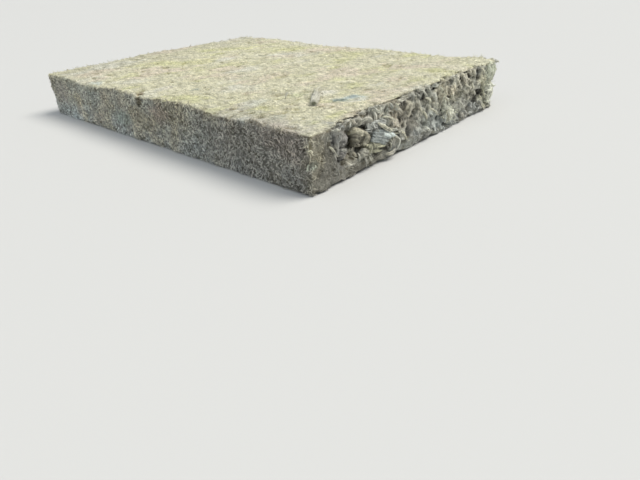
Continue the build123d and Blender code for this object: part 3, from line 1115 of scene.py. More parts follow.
# Places where the net stands up: distance from the front side, height, half width, half height
torn_humps = [
    (0.276, 0.066, 0.020, 0.015),
    (0.366, 0.044, 0.014, 0.010),
    (0.460, 0.042, 0.016, 0.012),
    (0.536, 0.062, 0.010, 0.010),
]
print(len(torn_pits), "pits and", len(torn_humps), "humps")


# %% Depth of the placed pits
def end_reach(points, from_front, height, half_width, half_height):
    """Distance from a place on the torn end, 1 at the given half width and half height."""
    across = (front_distance(points) - from_front) / half_width
    return np.hypot(across, (points[:, 2] - height) / half_height)


def far_half(points):
    """0 on the near part of the torn end and 1 on its far half, where the tear is rougher."""
    return ease(front_distance(points), 0.26, 0.36)


def placed_pits(points):
    """Depth of the placed pits at each point, and how far into a pit it is, from 0 to 1."""
    depth, share = np.zeros(len(points)), np.zeros(len(points))
    for *place, deepest in torn_pits:
        inside = fade(end_reach(points, *place), 0.3, 1.1)
        depth, share = np.maximum(depth, deepest * inside), np.maximum(share, inside)
    return depth * (1 + 0.4 * far_half(points)), share


print("deepest pit:", placed_pits(smooth_points)[0].max())

# %% Ridges of the torn face
net_height = 0.0060  # of the net, for a height of 1 in torn_ridges
net_zero = 0.40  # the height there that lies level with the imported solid
net_bend = 0.006  # how far slow noise bends the ridges
near_mix, far_mix = np.array([0.48, 0.34, 0.18]), np.array([-0.16, 0.04, 0.12])  # wide, narrow, thin


def ridged(points, size, seed):
    """Sharp lines of height 1 that fall off to both sides."""
    return 1 - 3.0 * np.abs(wool_noise(points, np.array(size), seed))


def torn_ridges(points):
    """Height of the torn net at each point, 1 on its ridges and -1 in its pits."""
    bends = np.stack([wool_noise(points, 0.020, seed) for seed in (26, 27, 28)], axis=1)
    bent = points + net_bend * bends
    wide = ridged(bent, (0.030, 0.017, 0.028), 17)
    narrow = ridged(bent, (0.015, 0.009, 0.014), 18)
    thin = ridged(bent, (0.008, 0.005, 0.008), 29)
    calm = fade(front_distance(points), 0.16, 0.22)
    shares = near_mix[:, None] + far_mix[:, None] * far_half(points)
    ridges = (shares[0] * wide + shares[1] * narrow + shares[2] * thin) * (1 - 0.35 * calm)
    for hump in torn_humps:
        ridges += 0.8 * fade(end_reach(points, *hump), 0.4, 1.1) * np.maximum(0.7 - ridges, 0)
    return np.clip(ridges - 1.6 * placed_pits(points)[1], -1.2, 1)


def torn_relief(points):
    """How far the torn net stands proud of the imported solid."""
    return net_height * (torn_ridges(points) - net_zero) - placed_pits(points)[0]


print("ridges from", torn_ridges(smooth_points[::50]).min(), "to", torn_ridges(smooth_points[::50]).max())

# %% [markdown]
# The second layer is locks: bundles of fibre that curl out of the ridges and hang or stand. The ones that
# the eye finds first in the photograph are placed one by one, each as a smooth line through three points.
# All others start at random on the ridges.

# %% Placed locks
# Three points (from the sawn end, from the front side, above the underside), width, shade, colour
placed_locks = [
    (((0.784, 0.156, 0.069), (0.789, 0.168, 0.060), (0.790, 0.196, 0.043)), 0.0022, 1.50, cream),
    (((0.784, 0.170, 0.064), (0.788, 0.179, 0.055), (0.788, 0.194, 0.048)), 0.0016, 1.55, cream),
    (((0.782, 0.169, 0.074), (0.788, 0.182, 0.072), (0.785, 0.213, 0.055)), 0.0010, 1.35, cream),
    (((0.789, 0.190, 0.042), (0.792, 0.206, 0.028), (0.790, 0.197, 0.014)), 0.0030, 1.25, grey),
    (((0.790, 0.198, 0.016), (0.791, 0.188, 0.011), (0.788, 0.173, 0.013)), 0.0022, 1.10, tan),
    (((0.785, 0.186, 0.032), (0.789, 0.188, 0.024), (0.786, 0.184, 0.016)), 0.0008, 1.15, cream),
    (((0.783, 0.087, 0.087), (0.787, 0.081, 0.084), (0.783, 0.081, 0.076)), 0.0010, 1.15, grey),
    (((0.778, 0.096, 0.088), (0.784, 0.095, 0.085), (0.782, 0.102, 0.078)), 0.0012, 1.30, rose),
    (((0.782, 0.037, 0.064), (0.787, 0.039, 0.062), (0.784, 0.051, 0.050)), 0.0010, 1.25, cream),
    (((0.783, 0.105, 0.035), (0.788, 0.104, 0.030), (0.786, 0.100, 0.022)), 0.0010, 1.20, chalk),
    (((0.783, 0.129, 0.025), (0.788, 0.119, 0.021), (0.786, 0.130, 0.009)), 0.0009, 1.10, grey),
    (((0.783, 0.133, 0.024), (0.787, 0.132, 0.020), (0.786, 0.138, 0.011)), 0.0008, 1.10, grey),
    (((0.784, 0.224, 0.040), (0.788, 0.228, 0.032), (0.785, 0.244, 0.016)), 0.0013, 1.45, cream),
    (((0.784, 0.234, 0.035), (0.787, 0.234, 0.028), (0.785, 0.244, 0.017)), 0.0010, 1.35, cream),
    (((0.784, 0.299, 0.077), (0.790, 0.304, 0.074), (0.786, 0.312, 0.061)), 0.0018, 1.40, cream),
    (((0.784, 0.332, 0.079), (0.789, 0.328, 0.070), (0.785, 0.336, 0.055)), 0.0022, 1.35, chalk),
    (((0.784, 0.364, 0.073), (0.789, 0.366, 0.065), (0.786, 0.380, 0.052)), 0.0018, 1.40, cream),
    (((0.784, 0.405, 0.065), (0.789, 0.393, 0.060), (0.786, 0.409, 0.046)), 0.0020, 1.40, cream),
    (((0.784, 0.315, 0.056), (0.789, 0.324, 0.051), (0.786, 0.350, 0.037)), 0.0020, 1.35, cream),
    (((0.784, 0.281, 0.065), (0.789, 0.280, 0.059), (0.785, 0.288, 0.048)), 0.0017, 1.40, cream),
    (((0.784, 0.296, 0.055), (0.789, 0.295, 0.049), (0.785, 0.309, 0.038)), 0.0018, 1.40, cream),
    (((0.784, 0.204, 0.088), (0.789, 0.202, 0.085), (0.785, 0.205, 0.076)), 0.0015, 1.40, cream),
    (((0.785, 0.201, 0.079), (0.789, 0.206, 0.079), (0.786, 0.222, 0.069)), 0.0020, 1.30, rose),
    (((0.784, 0.520, 0.091), (0.792, 0.512, 0.086), (0.786, 0.528, 0.070)), 0.0024, 1.50, cream),
    (((0.785, 0.382, 0.035), (0.789, 0.385, 0.026), (0.786, 0.392, 0.010)), 0.0015, 1.15, cream),
    (((0.785, 0.403, 0.030), (0.789, 0.410, 0.020), (0.786, 0.423, 0.007)), 0.0017, 1.35, chalk),
    (((0.784, 0.443, 0.088), (0.789, 0.441, 0.082), (0.785, 0.449, 0.072)), 0.0017, 1.35, rose),
    (((0.784, 0.480, 0.069), (0.789, 0.475, 0.063), (0.785, 0.481, 0.052)), 0.0017, 1.35, cream),
    (((0.785, 0.526, 0.024), (0.790, 0.532, 0.013), (0.786, 0.550, 0.003)), 0.0028, 1.60, cream),
    (((0.784, 0.346, 0.086), (0.789, 0.349, 0.082), (0.785, 0.355, 0.072)), 0.0015, 1.35, cream),
]
print(len(placed_locks), "placed locks")

# %% A smooth line through three points
lock_steps = 5


def through(points, steps=lock_steps):
    """A smooth line through three points."""
    share = np.linspace(0, 1, steps + 1)[:, None]
    first, middle, last = points
    control = 2 * middle - (first + last) / 2
    return (1 - share) ** 2 * first + 2 * share * (1 - share) * control + share**2 * last


def through_spots(spots, steps=lock_steps):
    """A smooth line through three places on the batt."""
    return through([on_batt(*spot) for spot in spots], steps)


print("middle of the first lock:", through_spots(placed_locks[0][0])[lock_steps // 2])

# %% Centre lines of the locks
rim_places = np.linspace(front_y + rim_inset, -front_y - rim_inset, 100)
rim_feet = np.c_[np.full(len(rim_places), torn_x), rim_places, np.zeros(len(rim_places))]
rim_heights = below_top(rim_feet)
proud_reach = 0.006  # locks that stand out further are drawn in towards this
lock_clearance = 0.003  # between the locks and the underside, and the rim
lock_bend = 0.6, 3.2


def lock_lines(count, weight, low, high):
    """Locks that leave the torn face, rise or fall along it and curl back towards it."""
    roots, normals = roots_on_skin(count, weight)
    roots = roots + normals * (sunk_core + torn_relief(roots) - 0.001)[:, None]
    across = front_distance(roots)
    steep = 0.35 + 0.65 * ease(across, 0.20, 0.30) - 0.45 * ease(across, 0.40, 0.48)
    upright = rng.choice([-1.0, 1.0], count, p=[0.6, 0.4]) * rng.uniform(0.5, 1.5, count) * steep
    headings = unit(0.55 * normals + np.c_[np.full(count, 0.10), 0.45 * rng.normal(size=count), upright])
    axes = unit(unit(np.cross(headings, -normals)) + 0.6 * rng.normal(size=normals.shape))
    lengths, bends = rng.uniform(low, high, count), rng.uniform(*lock_bend, count)
    lines = curls(roots, headings, axes, lengths, bends, lock_steps)
    proud = lines[:, :, 0] - torn_x
    lines[:, :, 0] = np.where(proud > 0, torn_x + proud_reach * np.tanh(proud / proud_reach), lines[:, :, 0])
    rim_height = np.interp(lines[:, :, 1], rim_places, rim_heights) - lock_clearance
    lines[:, :, 2] = np.clip(lines[:, :, 2], lock_clearance, rim_height)
    return lines


print("rim of the torn end from", rim_heights.min(), "to", rim_heights.max())


# %% Random locks
def distance_to(lines, *spot):
    """How near each line comes to a place on the batt."""
    return np.linalg.norm(lines - on_batt(*spot), axis=2).min(axis=1)


most_random_locks = 450
pit_limit = 0.6  # random locks that reach deeper into a placed pit are left out
lowest_over_score, score_reach = 0.013, 0.24  # and those that hang over the near part of the clean strip
clearings = [((0.778, 0.113, 0.055), 0.018), ((0.786, 0.568, 0.073), 0.020)]  # and those inside these balls
random_width, random_shade = (0.0009, 0.0020), (0.55, 1.45)
faces_ridge = faces_torn * ease(torn_ridges(skin_middles), -0.1, 0.6)
faces_torn_rim = faces_rim * torn_share(skin_middles) * (skin_middles[:, 0] > torn_x - tear_reach)
random_locks = lock_lines(70, faces_torn_rim, 0.007, 0.015)
random_locks = np.concatenate([random_locks, lock_lines(500, faces_ridge, 0.009, 0.020)])
pit_shares = placed_pits(random_locks.reshape(-1, 3))[1].reshape(len(random_locks), -1)
left_out = pit_shares.max(axis=1) > pit_limit
for spot, radius in clearings:
    left_out |= distance_to(random_locks, *spot) < radius
over_score = random_locks[:, :, 2].min(axis=1) < lowest_over_score
left_out |= over_score & (front_distance(random_locks[:, 0]) < score_reach)
random_locks = random_locks[~left_out][:most_random_locks]
random_count = len(random_locks)
print(random_count, "random locks")

# %% All locks together
own_share, grey_share = 0.55, 0.40  # of its own colour and of grey in a placed lock
hand_spots, hand_widths, hand_shades, hand_colours = zip(*placed_locks)
torn_locks = np.concatenate([random_locks, [through_spots(spots) for spots in hand_spots]])
lock_widths = np.concatenate([rng.uniform(*random_width, random_count), hand_widths])
lock_shades = np.concatenate([rng.uniform(*random_shade, random_count), hand_shades])
hand_tints = own_share * np.array(hand_colours) + grey_share * grey
lock_tints = np.concatenate([wool_tint(random_locks[:, 2], 0), hand_tints])
lock_count = len(torn_locks)
print(lock_count, "locks")


# %% Cores of the locks
def strand_taper(steps):
    """Thickness along a strand of so many points, blunt at the root and fine at the tip."""
    return np.interp(np.linspace(0, 1, steps), (0, 0.2, 0.6, 0.85, 1), (0.85, 1.05, 1.0, 0.7, 0.25))


core_widths = lock_widths[:, None] * strand_taper(lock_steps + 1)
cores = strand_mesh("cores", torn_locks, core_widths, np.ones((lock_count, 3)), sides=8, flatness=0.7)
core_points, _, core_triangles = read_mesh(cores)
print("cores:", len(core_triangles), "triangles")

# %% A slab of the torn face
slab_depth = 0.005
slab_tuck = 0.0012  # how far its border dips under the skin beside it

net_share = torn_share(smooth_points) * (1 - ease(smooth_normals[:, 2], 0.55, 0.95))
slab_faces = felt_faces[net_share[felt_faces].min(axis=1) > 0.02]
used, slab_triangles = np.unique(slab_faces, return_inverse=True)
slab_triangles = slab_triangles.reshape(-1, 3)
slab_rise = net_share[used] * torn_relief(smooth_points[used]) - (1 - net_share[used]) * slab_tuck
outer = smooth_points[used] + smooth_normals[used] * slab_rise[:, None]
inner = outer - smooth_normals[used] * slab_depth
print("slab:", len(slab_triangles), "triangles")

# %% Walls round the slab
edges = np.concatenate([slab_triangles[:, [0, 1]], slab_triangles[:, [1, 2]], slab_triangles[:, [2, 0]]])
edge_codes = edges[:, 0] * len(used) + edges[:, 1]
open_edges = edges[~np.isin(edge_codes, edges[:, 1] * len(used) + edges[:, 0])]
start, end = open_edges.T
walls = np.concatenate([np.c_[end, start, start + len(used)], np.c_[end, start + len(used), end + len(used)]])
slab_all = np.concatenate([slab_triangles, slab_triangles[:, ::-1] + len(used), walls])
print("walls:", len(walls), "triangles")

# %% [markdown]
# A fine voxel remesh fuses the slab and the thick cores of the locks into one tangle with real overhangs.
# Its colour is painted shade, from near black in the pits to pale on the ridges, with more contrast on
# the far half, and takes a lock's own shade close to that lock.


# %% Fuse both into one tangle
def joined(name, parts):
    """One mesh of several parts, each given by its points and its triangles."""
    starts = np.cumsum([0] + [len(points) for points, _ in parts])
    triangles = [triangles + start for (_, triangles), start in zip(parts, starts)]
    return write_mesh(name, np.concatenate([points for points, _ in parts]), np.concatenate(triangles))


lowest_wool = 0.0003
tangle_triangles = 130000
tangle_voxel = 0.0012
fibre_height, grit_height = 0.0010, 0.0004
tangle = joined("tangle", [(core_points, core_triangles), (np.concatenate([outer, inner]), slab_all)])
tangle = modified_mesh(tangle, "REMESH", mode="VOXEL", voxel_size=tangle_voxel)
tangle_points, tangle_normals, tangle_faces = read_mesh(tangle)
fine = wool_noise(tangle_points, np.array([0.005, 0.003, 0.006]), 41)
finest = wool_noise(tangle_points, 0.0026, 42)
tangle_points = tangle_points + tangle_normals * (fibre_height * fine + grit_height * finest)[:, None]
tangle_points[:, 2] = np.maximum(tangle_points[:, 2], lowest_wool)
print("tangle:", len(tangle_faces), "triangles")

# %% Shade of the tangle
# Painted shade: dark in the pits, pale on the ridges and where the fine noise pushes the tangle out.
pit_darkness = 0.80
lock_brightness = 0.85
far_contrast = 0.26
deepest_pit_shade, ridge_gain, fine_gain, finest_gain = 0.20, 0.86, 0.12, 0.08
middle_height = 0.48  # wool at this share of a ridge keeps its shade on the far half
lock_tree = tree_of(torn_locks.reshape(-1, 3))
near_locks = [lock_tree.find(point)[1:] for point in tangle_points.astype(float)]
nearest, lock_distance = np.array(near_locks).T
nearest = nearest.astype(int) // torn_locks.shape[1]
lock_share = fade(lock_distance, 0.001, 0.004)
ridge_share = ease(torn_ridges(tangle_points), -0.6, 0.8)
ridge_shade = deepest_pit_shade + ridge_gain * ridge_share + fine_gain * fine + finest_gain * finest
ridge_shade += far_contrast * far_half(tangle_points) * (ridge_share - middle_height)
ridge_shade *= 1 - pit_darkness * placed_pits(tangle_points)[1]
tangle_shade = ridge_shade + lock_share * (lock_brightness * lock_shades[nearest] - ridge_shade)
print("shade from", tangle_shade.min(), "to", tangle_shade.max())

# %% Colour of the tangle
tangle = write_mesh("tangle", tangle_points, tangle_faces)
rim_share = 1 - 0.7 * ease(front_distance(tangle_points), 0.28, 0.42)
tangle_tint = rim_tint(tangle_points, below_top(tangle_points), wool_tint(tangle_points, 0), rim_share)
tint_mesh(tangle, tangle_tint * tangle_shade[:, None])
tangle = modified_mesh(tangle, "DECIMATE", ratio=min(1.0, tangle_triangles / len(tangle_faces)))
torn_material = wool_material(
    "torn_wool", wool_base, speckle_size=0.0022, speckle_depth=0.46, bump_height=0.0020
)
add_wool("torn_tangle", tangle, torn_material)

# %% [markdown]
# The third layer is the strands of the locks. They share a lock's centre line, each with its own offset
# that turns slowly around it. Some stop short, and past the middle they drift apart, which frays the tip.


# %% Bundles of strands
def bundles(lines, widths, strands, hollow=0.0, fray=0.6):
    """Centre lines for the strands of each lock. hollow, from 0 to 1, keeps them off its middle."""
    count, steps = lines.shape[:2]
    share = np.linspace(0, 1, steps)
    across, above = sides_of(lines)
    angle = rng.uniform(0, 2 * np.pi, (count, strands, 1)) + rng.normal(0, 1.0, (count, strands, 1)) * share
    reach = np.maximum(np.sqrt(rng.random((count, strands, 1))), hollow) * widths[:, None, None]
    reach = reach * (0.5 + 0.6 * np.sin(np.pi * share) + fray * share**2)
    offset = np.cos(angle)[..., None] * across[:, None] + np.sin(angle)[..., None] * above[:, None]
    whole = lines[:, None] + reach[..., None] * offset
    place = share * rng.uniform(0.7, 1.1, (count, strands, 1)) * (steps - 1)
    before = np.minimum(place.astype(int), steps - 2)
    part = (place - before)[..., None]
    first = np.take_along_axis(whole, before[..., None], axis=2)
    second = np.take_along_axis(whole, before[..., None] + 1, axis=2)
    return (first + part * (second - first)).reshape(count * strands, steps, 3)


lowest_strand = 0.001


def bundle_piece(name, lines, widths, strands, shades, tints, thickness, hollow=0.0):
    """A piece of frayed locks. Each lock has a shade and a tint."""
    split = bundles(lines, widths, strands, hollow)
    split[:, :, 2] = np.maximum(split[:, :, 2], lowest_strand)
    colours = np.repeat(tints * shades[:, None], strands, axis=0) * rng.uniform(0.80, 1.20, (len(split), 1))
    radii = rng.uniform(*thickness, (len(split), 1)) * strand_taper(split.shape[1])
    add_strands(name, split, radii, colours)


# %% Strands of all the locks
strands_in_lock = 8
sheath_reach = 1.25  # of the strands, in widths of the core
lock_strand = (0.0003, 0.0006)
sheath_widths = lock_widths * sheath_reach
bundle_piece(
    "torn_locks", torn_locks, sheath_widths, strands_in_lock, lock_shades, lock_tints, lock_strand, hollow=0.8
)

# %% [markdown]
# Soft rounded lumps sit in and around the big hollow: a fist of tan wool, a blue-grey flap with a grey
# shoulder above it, and smaller lumps between. Each is a core with thick bands and thin curls wound round
# it. A voxel remesh fuses them, so the creases between the bands stay.


# %% The core of a lump and the curls round it
def wool_ball(name, middle, size, seed):
    """Points and triangles of an uneven ball with those half axes."""
    core = bpy.data.meshes.new(name)
    shape = bmesh.new()
    bmesh.ops.create_icosphere(shape, subdivisions=4, radius=1)
    shape.to_mesh(core)
    shape.free()
    points, _, triangles = read_mesh(core)
    swell = 1 + 0.20 * wool_noise(points, 0.9, seed) + 0.12 * wool_noise(points, 0.4, seed + 1)
    return points * swell[:, None] * size + middle, triangles


def wound_curls(middle, size, count):
    """Centre lines of curls that lie round such a ball."""
    ways = unit(rng.normal(size=(count, 3)))
    roots = ways * size * 0.97 + middle
    normals = unit(ways / size)
    headings = unit(flat_heading(normals) + 0.15 * normals)
    axes = unit(np.cross(headings, -normals) + 0.3 * rng.normal(size=roots.shape))
    lengths = rng.uniform(0.6, 1.3, count) * size.mean()
    return curls(roots, headings, axes, lengths, rng.uniform(0.5, 1.6, count), lock_steps)


def solid_strands(name, lines, widths, sides):
    """Points and triangles of plain tubes round those lines."""
    return read_mesh(strand_mesh(name, lines, widths, np.ones((len(lines), 3)), sides=sides))[::2]


# %% A lump with its bands and dents
curl_radius = 0.0008, 0.0016
band_steps = 8
band_share = np.linspace(0, 1, band_steps + 1)
band_taper = np.interp(band_share, (0, 0.25, 0.7, 1), (0.75, 1, 1, 0.55))[None]
lump_voxel = 0.0012
lump_grit, lump_ripple = 0.0008, 0.0010
# Painted shade: a lump is dark in the creases between its bands and curls and pale on its bulges.
lump_darkest, lump_gain = 0.35, 0.60
# Painted shade: each dent is pushed in and darkened.
dent_depth, dent_darkness = 0.5, 0.75  # the depth as a share of the dent's radius


def lump_core(name, middle, size, shade, seed, curl_lines, band_lines, bands, dents):
    """The fused core of a lump: its points and triangles, and a shade for each point."""
    curl_widths = rng.uniform(*curl_radius, (len(curl_lines), 1)) * strand_taper(lock_steps + 1)
    parts = [wool_ball(name, middle, size, seed), solid_strands(name, curl_lines, curl_widths, 6)]
    for line, (_, radius, _) in zip(band_lines, bands):
        parts.append(solid_strands(name, line[None], radius * band_taper, 12))
    mesh = modified_mesh(joined(name, parts), "REMESH", mode="VOXEL", voxel_size=lump_voxel)
    points, normals, triangles = read_mesh(mesh)
    fine = wool_noise(points, 0.0035, seed + 2)
    rise = lump_grit * fine + lump_ripple * wool_noise(points, 0.008, seed + 3)
    points = points + normals * rise[:, None]
    points[:, 2] = np.maximum(points[:, 2], lowest_wool)
    bulge = np.linalg.norm((points - middle) / size, axis=1)
    shades = shade * (lump_darkest + lump_gain * ease(bulge, 0.85, 1.30) + 0.10 * fine)
    for line, (_, radius, band_shade) in zip(band_lines, bands):
        away = np.linalg.norm(points[:, None] - line, axis=2).min(axis=1)
        on_band = fade(away, 0.95 * radius, 1.35 * radius)
        shades += on_band * (band_shade * (1 + 0.15 * fine) - shades)
    for spot, radius in dents:
        dented = fade(np.linalg.norm(points - on_batt(*spot), axis=1), 0.3 * radius, radius)
        points = points - normals * (dent_depth * radius * dented)[:, None]
        shades = shades * (1 - dent_darkness * dented)
    print(f"core of {name}: {len(parts)} parts")
    return points, triangles, shades


# %% A lump as pieces of the batt
band_strands = 14
loose_scatter, loose_radius, loose_shade = 0.0016, (0.00030, 0.00055), (0.50, 1.40)
winding_radius = 0.00025, 0.00050


def wool_lump(name, spot, size, colour, shade, curl_count, loose_count, seed, bands=(), dents=(), streak=0.3):
    """A fused lump of wool with loose strands over it.

    size holds its half axes. Each band has three places, a radius and a shade. Each dent has a place and
    a radius.
    """
    middle, size = on_batt(*spot), np.array(size)
    curl_lines = wound_curls(middle, size, curl_count)
    band_lines = [through_spots(spots, band_steps) for spots, _, _ in bands]
    points, triangles, shades = lump_core(
        name, middle, size, shade, seed, curl_lines, band_lines, bands, dents
    )
    mesh = write_mesh(name, points, triangles)
    tint_mesh(mesh, colour * shades[:, None])
    add_wool(name, mesh, torn_material)

    followed = curl_lines[rng.integers(0, curl_count, loose_count)]
    loose = followed + rng.normal(0, loose_scatter, (loose_count, 1, 3))
    loose[:, :, 2] = np.maximum(loose[:, :, 2], lowest_strand)
    thickness = rng.uniform(*loose_radius, (loose_count, 1)) * strand_taper(lock_steps + 1)
    tints = colour * shade * rng.uniform(*loose_shade, (loose_count, 1))
    add_strands(name + "_strands", loose, thickness, tints)
    if bands:
        radii = np.array([radius for _, radius, _ in bands])
        wound = bundles(np.array(band_lines), radii, band_strands, hollow=0.97, fray=0.0)
        band_shades = np.repeat([band_shade for _, _, band_shade in bands], band_strands)[:, None]
        thickness = rng.uniform(*winding_radius, (len(wound), 1)) * strand_taper(band_steps + 1)
        tints = colour * band_shades * rng.uniform(1 - streak, 1 + streak, band_shades.shape)
        add_strands(name + "_windings", wound, thickness, tints)


# %% Tan fist
# Painted light and shade: a pale cap band and dark lower bands and core, as light from above makes them.
fist_bands = [
    (((0.757, 0.119, 0.056), (0.766, 0.120, 0.063), (0.776, 0.127, 0.060)), 0.0050, 1.40),
    (((0.759, 0.117, 0.053), (0.769, 0.116, 0.055), (0.776, 0.121, 0.053)), 0.0030, 0.46),
    (((0.761, 0.115, 0.047), (0.770, 0.113, 0.050), (0.777, 0.119, 0.048)), 0.0030, 0.50),
    (((0.762, 0.115, 0.040), (0.771, 0.113, 0.044), (0.777, 0.118, 0.041)), 0.0034, 0.44),
    (((0.774, 0.130, 0.060), (0.783, 0.131, 0.053), (0.780, 0.123, 0.041)), 0.0036, 0.78),
]
fist_dents = [((0.780, 0.119, 0.053), 0.0065), ((0.775, 0.113, 0.044), 0.003)]
fist_place, fist_size = (0.767, 0.127, 0.050), (0.0100, 0.0110, 0.0145)
wool_lump("tan_fist", fist_place, fist_size, tan, 0.30, 16, 110, 51, fist_bands, fist_dents)

# %% Blue-grey flap and its shoulder
flap_blue = np.array([0.91, 1.00, 1.06])
flap_bands = [
    (((0.783, 0.150, 0.058), (0.786, 0.170, 0.053), (0.790, 0.195, 0.042)), 0.0024, 0.86),
    (((0.783, 0.146, 0.055), (0.787, 0.165, 0.050), (0.790, 0.190, 0.041)), 0.0026, 0.80),
    (((0.783, 0.143, 0.052), (0.787, 0.160, 0.046), (0.790, 0.184, 0.038)), 0.0026, 0.76),
    (((0.783, 0.140, 0.048), (0.787, 0.156, 0.043), (0.790, 0.177, 0.035)), 0.0026, 0.74),
    (((0.783, 0.139, 0.045), (0.786, 0.152, 0.040), (0.789, 0.171, 0.032)), 0.0022, 0.66),
    (((0.790, 0.180, 0.047), (0.792, 0.187, 0.043), (0.792, 0.194, 0.040)), 0.0026, 1.45),
    (((0.788, 0.168, 0.049), (0.790, 0.176, 0.045), (0.791, 0.186, 0.040)), 0.0026, 1.60),
]
flap_place, flap_size = (0.783, 0.160, 0.047), (0.003, 0.014, 0.005)
# Painted shade: a dark dent for the pocket between the flap and its shoulder.
pocket = [((0.785, 0.140, 0.055), 0.010)]
wool_lump("blue_flap", flap_place, flap_size, flap_blue, 0.60, 6, 40, 61, flap_bands, pocket, streak=0.16)
shoulder_grey = np.array([0.90, 0.93, 0.95])
shoulder_place, shoulder_size = (0.778, 0.160, 0.061), (0.008, 0.021, 0.009)
wool_lump("grey_shoulder", shoulder_place, shoulder_size, shoulder_grey, 1.15, 60, 90, 66, dents=pocket)

# %% Bands of the smaller lumps
nose_bands = [
    (((0.780, 0.134, 0.038), (0.786, 0.152, 0.033), (0.786, 0.176, 0.028)), 0.0024, 1.40),
    (((0.781, 0.130, 0.032), (0.786, 0.146, 0.027), (0.785, 0.166, 0.022)), 0.0022, 0.92),
]
back_bands = [
    (((0.783, 0.555, 0.090), (0.787, 0.554, 0.080), (0.784, 0.557, 0.068)), 0.0036, 1.34),
    (((0.783, 0.564, 0.091), (0.788, 0.564, 0.079), (0.785, 0.567, 0.062)), 0.0040, 1.42),
    (((0.783, 0.574, 0.091), (0.787, 0.575, 0.079), (0.784, 0.576, 0.060)), 0.0040, 1.34),
]
print(len(nose_bands) + len(back_bands), "bands")

# %% Smaller lumps
snout_olive = np.array([0.97, 0.97, 0.78])
grey_wool = np.array([0.92, 0.90, 0.92])
mint = np.array([0.96, 1.00, 0.90])
pale_green = np.array([0.96, 0.98, 0.91])

# Name, place of its middle, half axes, colour, shade, number of curls and of loose strands, seed, bands
small_lumps = [
    ("olive_snout", (0.781, 0.148, 0.033), (0.007, 0.020, 0.008), snout_olive, 0.74, 50, 80, 71, nose_bands),
    ("grey_lump", (0.771, 0.078, 0.062), (0.009, 0.008, 0.010), grey_wool, 0.74, 80, 110, 81),
    ("low_lump", (0.774, 0.073, 0.042), (0.008, 0.009, 0.007), grey_wool, 0.60, 80, 100, 86),
    ("pale_lump", (0.781, 0.123, 0.029), (0.006, 0.010, 0.006), chalk, 0.92, 40, 60, 91),
    ("far_lump", (0.780, 0.380, 0.050), (0.006, 0.010, 0.012), pale_green, 1.45, 60, 50, 96),
    ("far_tuft", (0.780, 0.398, 0.024), (0.006, 0.021, 0.013), pale_green, 1.62, 70, 80, 121),
    ("blue_fluff", (0.780, 0.440, 0.031), (0.006, 0.030, 0.013), grey, 1.05, 70, 80, 101),
    ("back_flap", (0.779, 0.563, 0.073), (0.008, 0.018, 0.018), mint, 1.38, 110, 60, 106, back_bands),
    ("low_flap", (0.782, 0.567, 0.034), (0.008, 0.016, 0.020), pale_green, 1.80, 60, 40, 111),
    ("corner_fluff", (0.778, 0.006, 0.043), (0.004, 0.007, 0.007), mint, 1.32, 30, 24, 116),
]
for small_lump in small_lumps:
    wool_lump(*small_lump)


# %% Frayed fibres
frayed_length, frayed_bend, frayed_radius = (0.004, 0.011), (0.5, 2.8), (0.0002, 0.0004)
frayed_scatter = 0.0008  # of their roots about the lock
frayed_rise = 0.002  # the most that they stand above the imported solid


def frayed_fibres(count):
    """Thin fibres that stand out of the locks."""
    near_lock = rng.integers(0, lock_count, count)
    step = rng.integers(2, torn_locks.shape[1], count)
    tips = torn_locks[near_lock, step]
    roots = tips + rng.normal(size=(count, 3)) * frayed_scatter
    headings = unit(unit(tips - torn_locks[near_lock, step - 1]) + 0.7 * rng.normal(size=(count, 3)))
    axes = unit(rng.normal(size=(count, 3)))
    lengths, bends = rng.uniform(*frayed_length, count), rng.uniform(*frayed_bend, count)
    lines = curls(roots, headings, axes, lengths, bends, len(fuzz_taper) - 1)
    lines[:, :, 2] = np.clip(lines[:, :, 2], lowest_strand, cad_high.z + frayed_rise)
    thickness = rng.uniform(*frayed_radius, (count, 1)) * fuzz_taper
    tints = lock_tints[near_lock] * rng.uniform(0.9, 1.4, (count, 1))
    add_strands("frayed_fibres", lines, thickness, tints)


frayed_fibres(int(1400 * flake_share))

# %% [markdown]
# ## A rolled tuft on the top
#
# One pinch of the top skin has rolled itself up and stands a little off the surface, with its open end
# towards the camera. It is a sheath of strands around a darker pith, whose colour is painted shade inside
# the open end. A low mound of wool lies behind it, and a small upright tuft to its left.

# %% Rolled tuft
roll_strands = 44
strand_inset, strand_scatter = 0.0005, 0.0006
roll_strand_radius = 0.0006, 0.0009
roll_radius = np.array([0.0047, 0.0055, 0.0061, 0.0059, 0.0064, 0.0070, 0.0073, 0.0062])
roll_steps = len(roll_radius)
roll_spots = [(0.690, 0.114, 0.0036), (0.675, 0.136, 0.0046), (0.654, 0.161, 0.0018)]
roll_line = through([top_at(*spot) for spot in roll_spots], roll_steps - 1)
roll_ahead = unit(np.gradient(roll_line, axis=0))
roll_across = unit(np.cross(roll_ahead, (0, 0, 1)))
roll_above = np.cross(roll_across, roll_ahead)
roll_angles = np.linspace(0, 2 * np.pi, roll_strands, endpoint=False)[:, None, None]
roll_ring = np.cos(roll_angles) * roll_across + np.sin(roll_angles) * roll_above
roll_bumps = wool_noise((roll_line + 0.006 * roll_ring).reshape(-1, 3), 0.009, 45)
roll_bumps = 1 + 0.16 * roll_bumps.reshape(roll_strands, roll_steps)
roll_lines = roll_line + ((roll_radius - strand_inset) * roll_bumps)[..., None] * roll_ring
roll_lines = roll_lines + rng.normal(0, strand_scatter, roll_lines.shape)
roll_radii = rng.uniform(*roll_strand_radius, (roll_strands, 1)) * np.linspace(1, 0.8, roll_steps)
roll_tints = chalk * rng.uniform(0.88, 1.12, (roll_strands, 1))
add_strands("rolled_tuft", roll_lines, roll_radii, roll_tints)

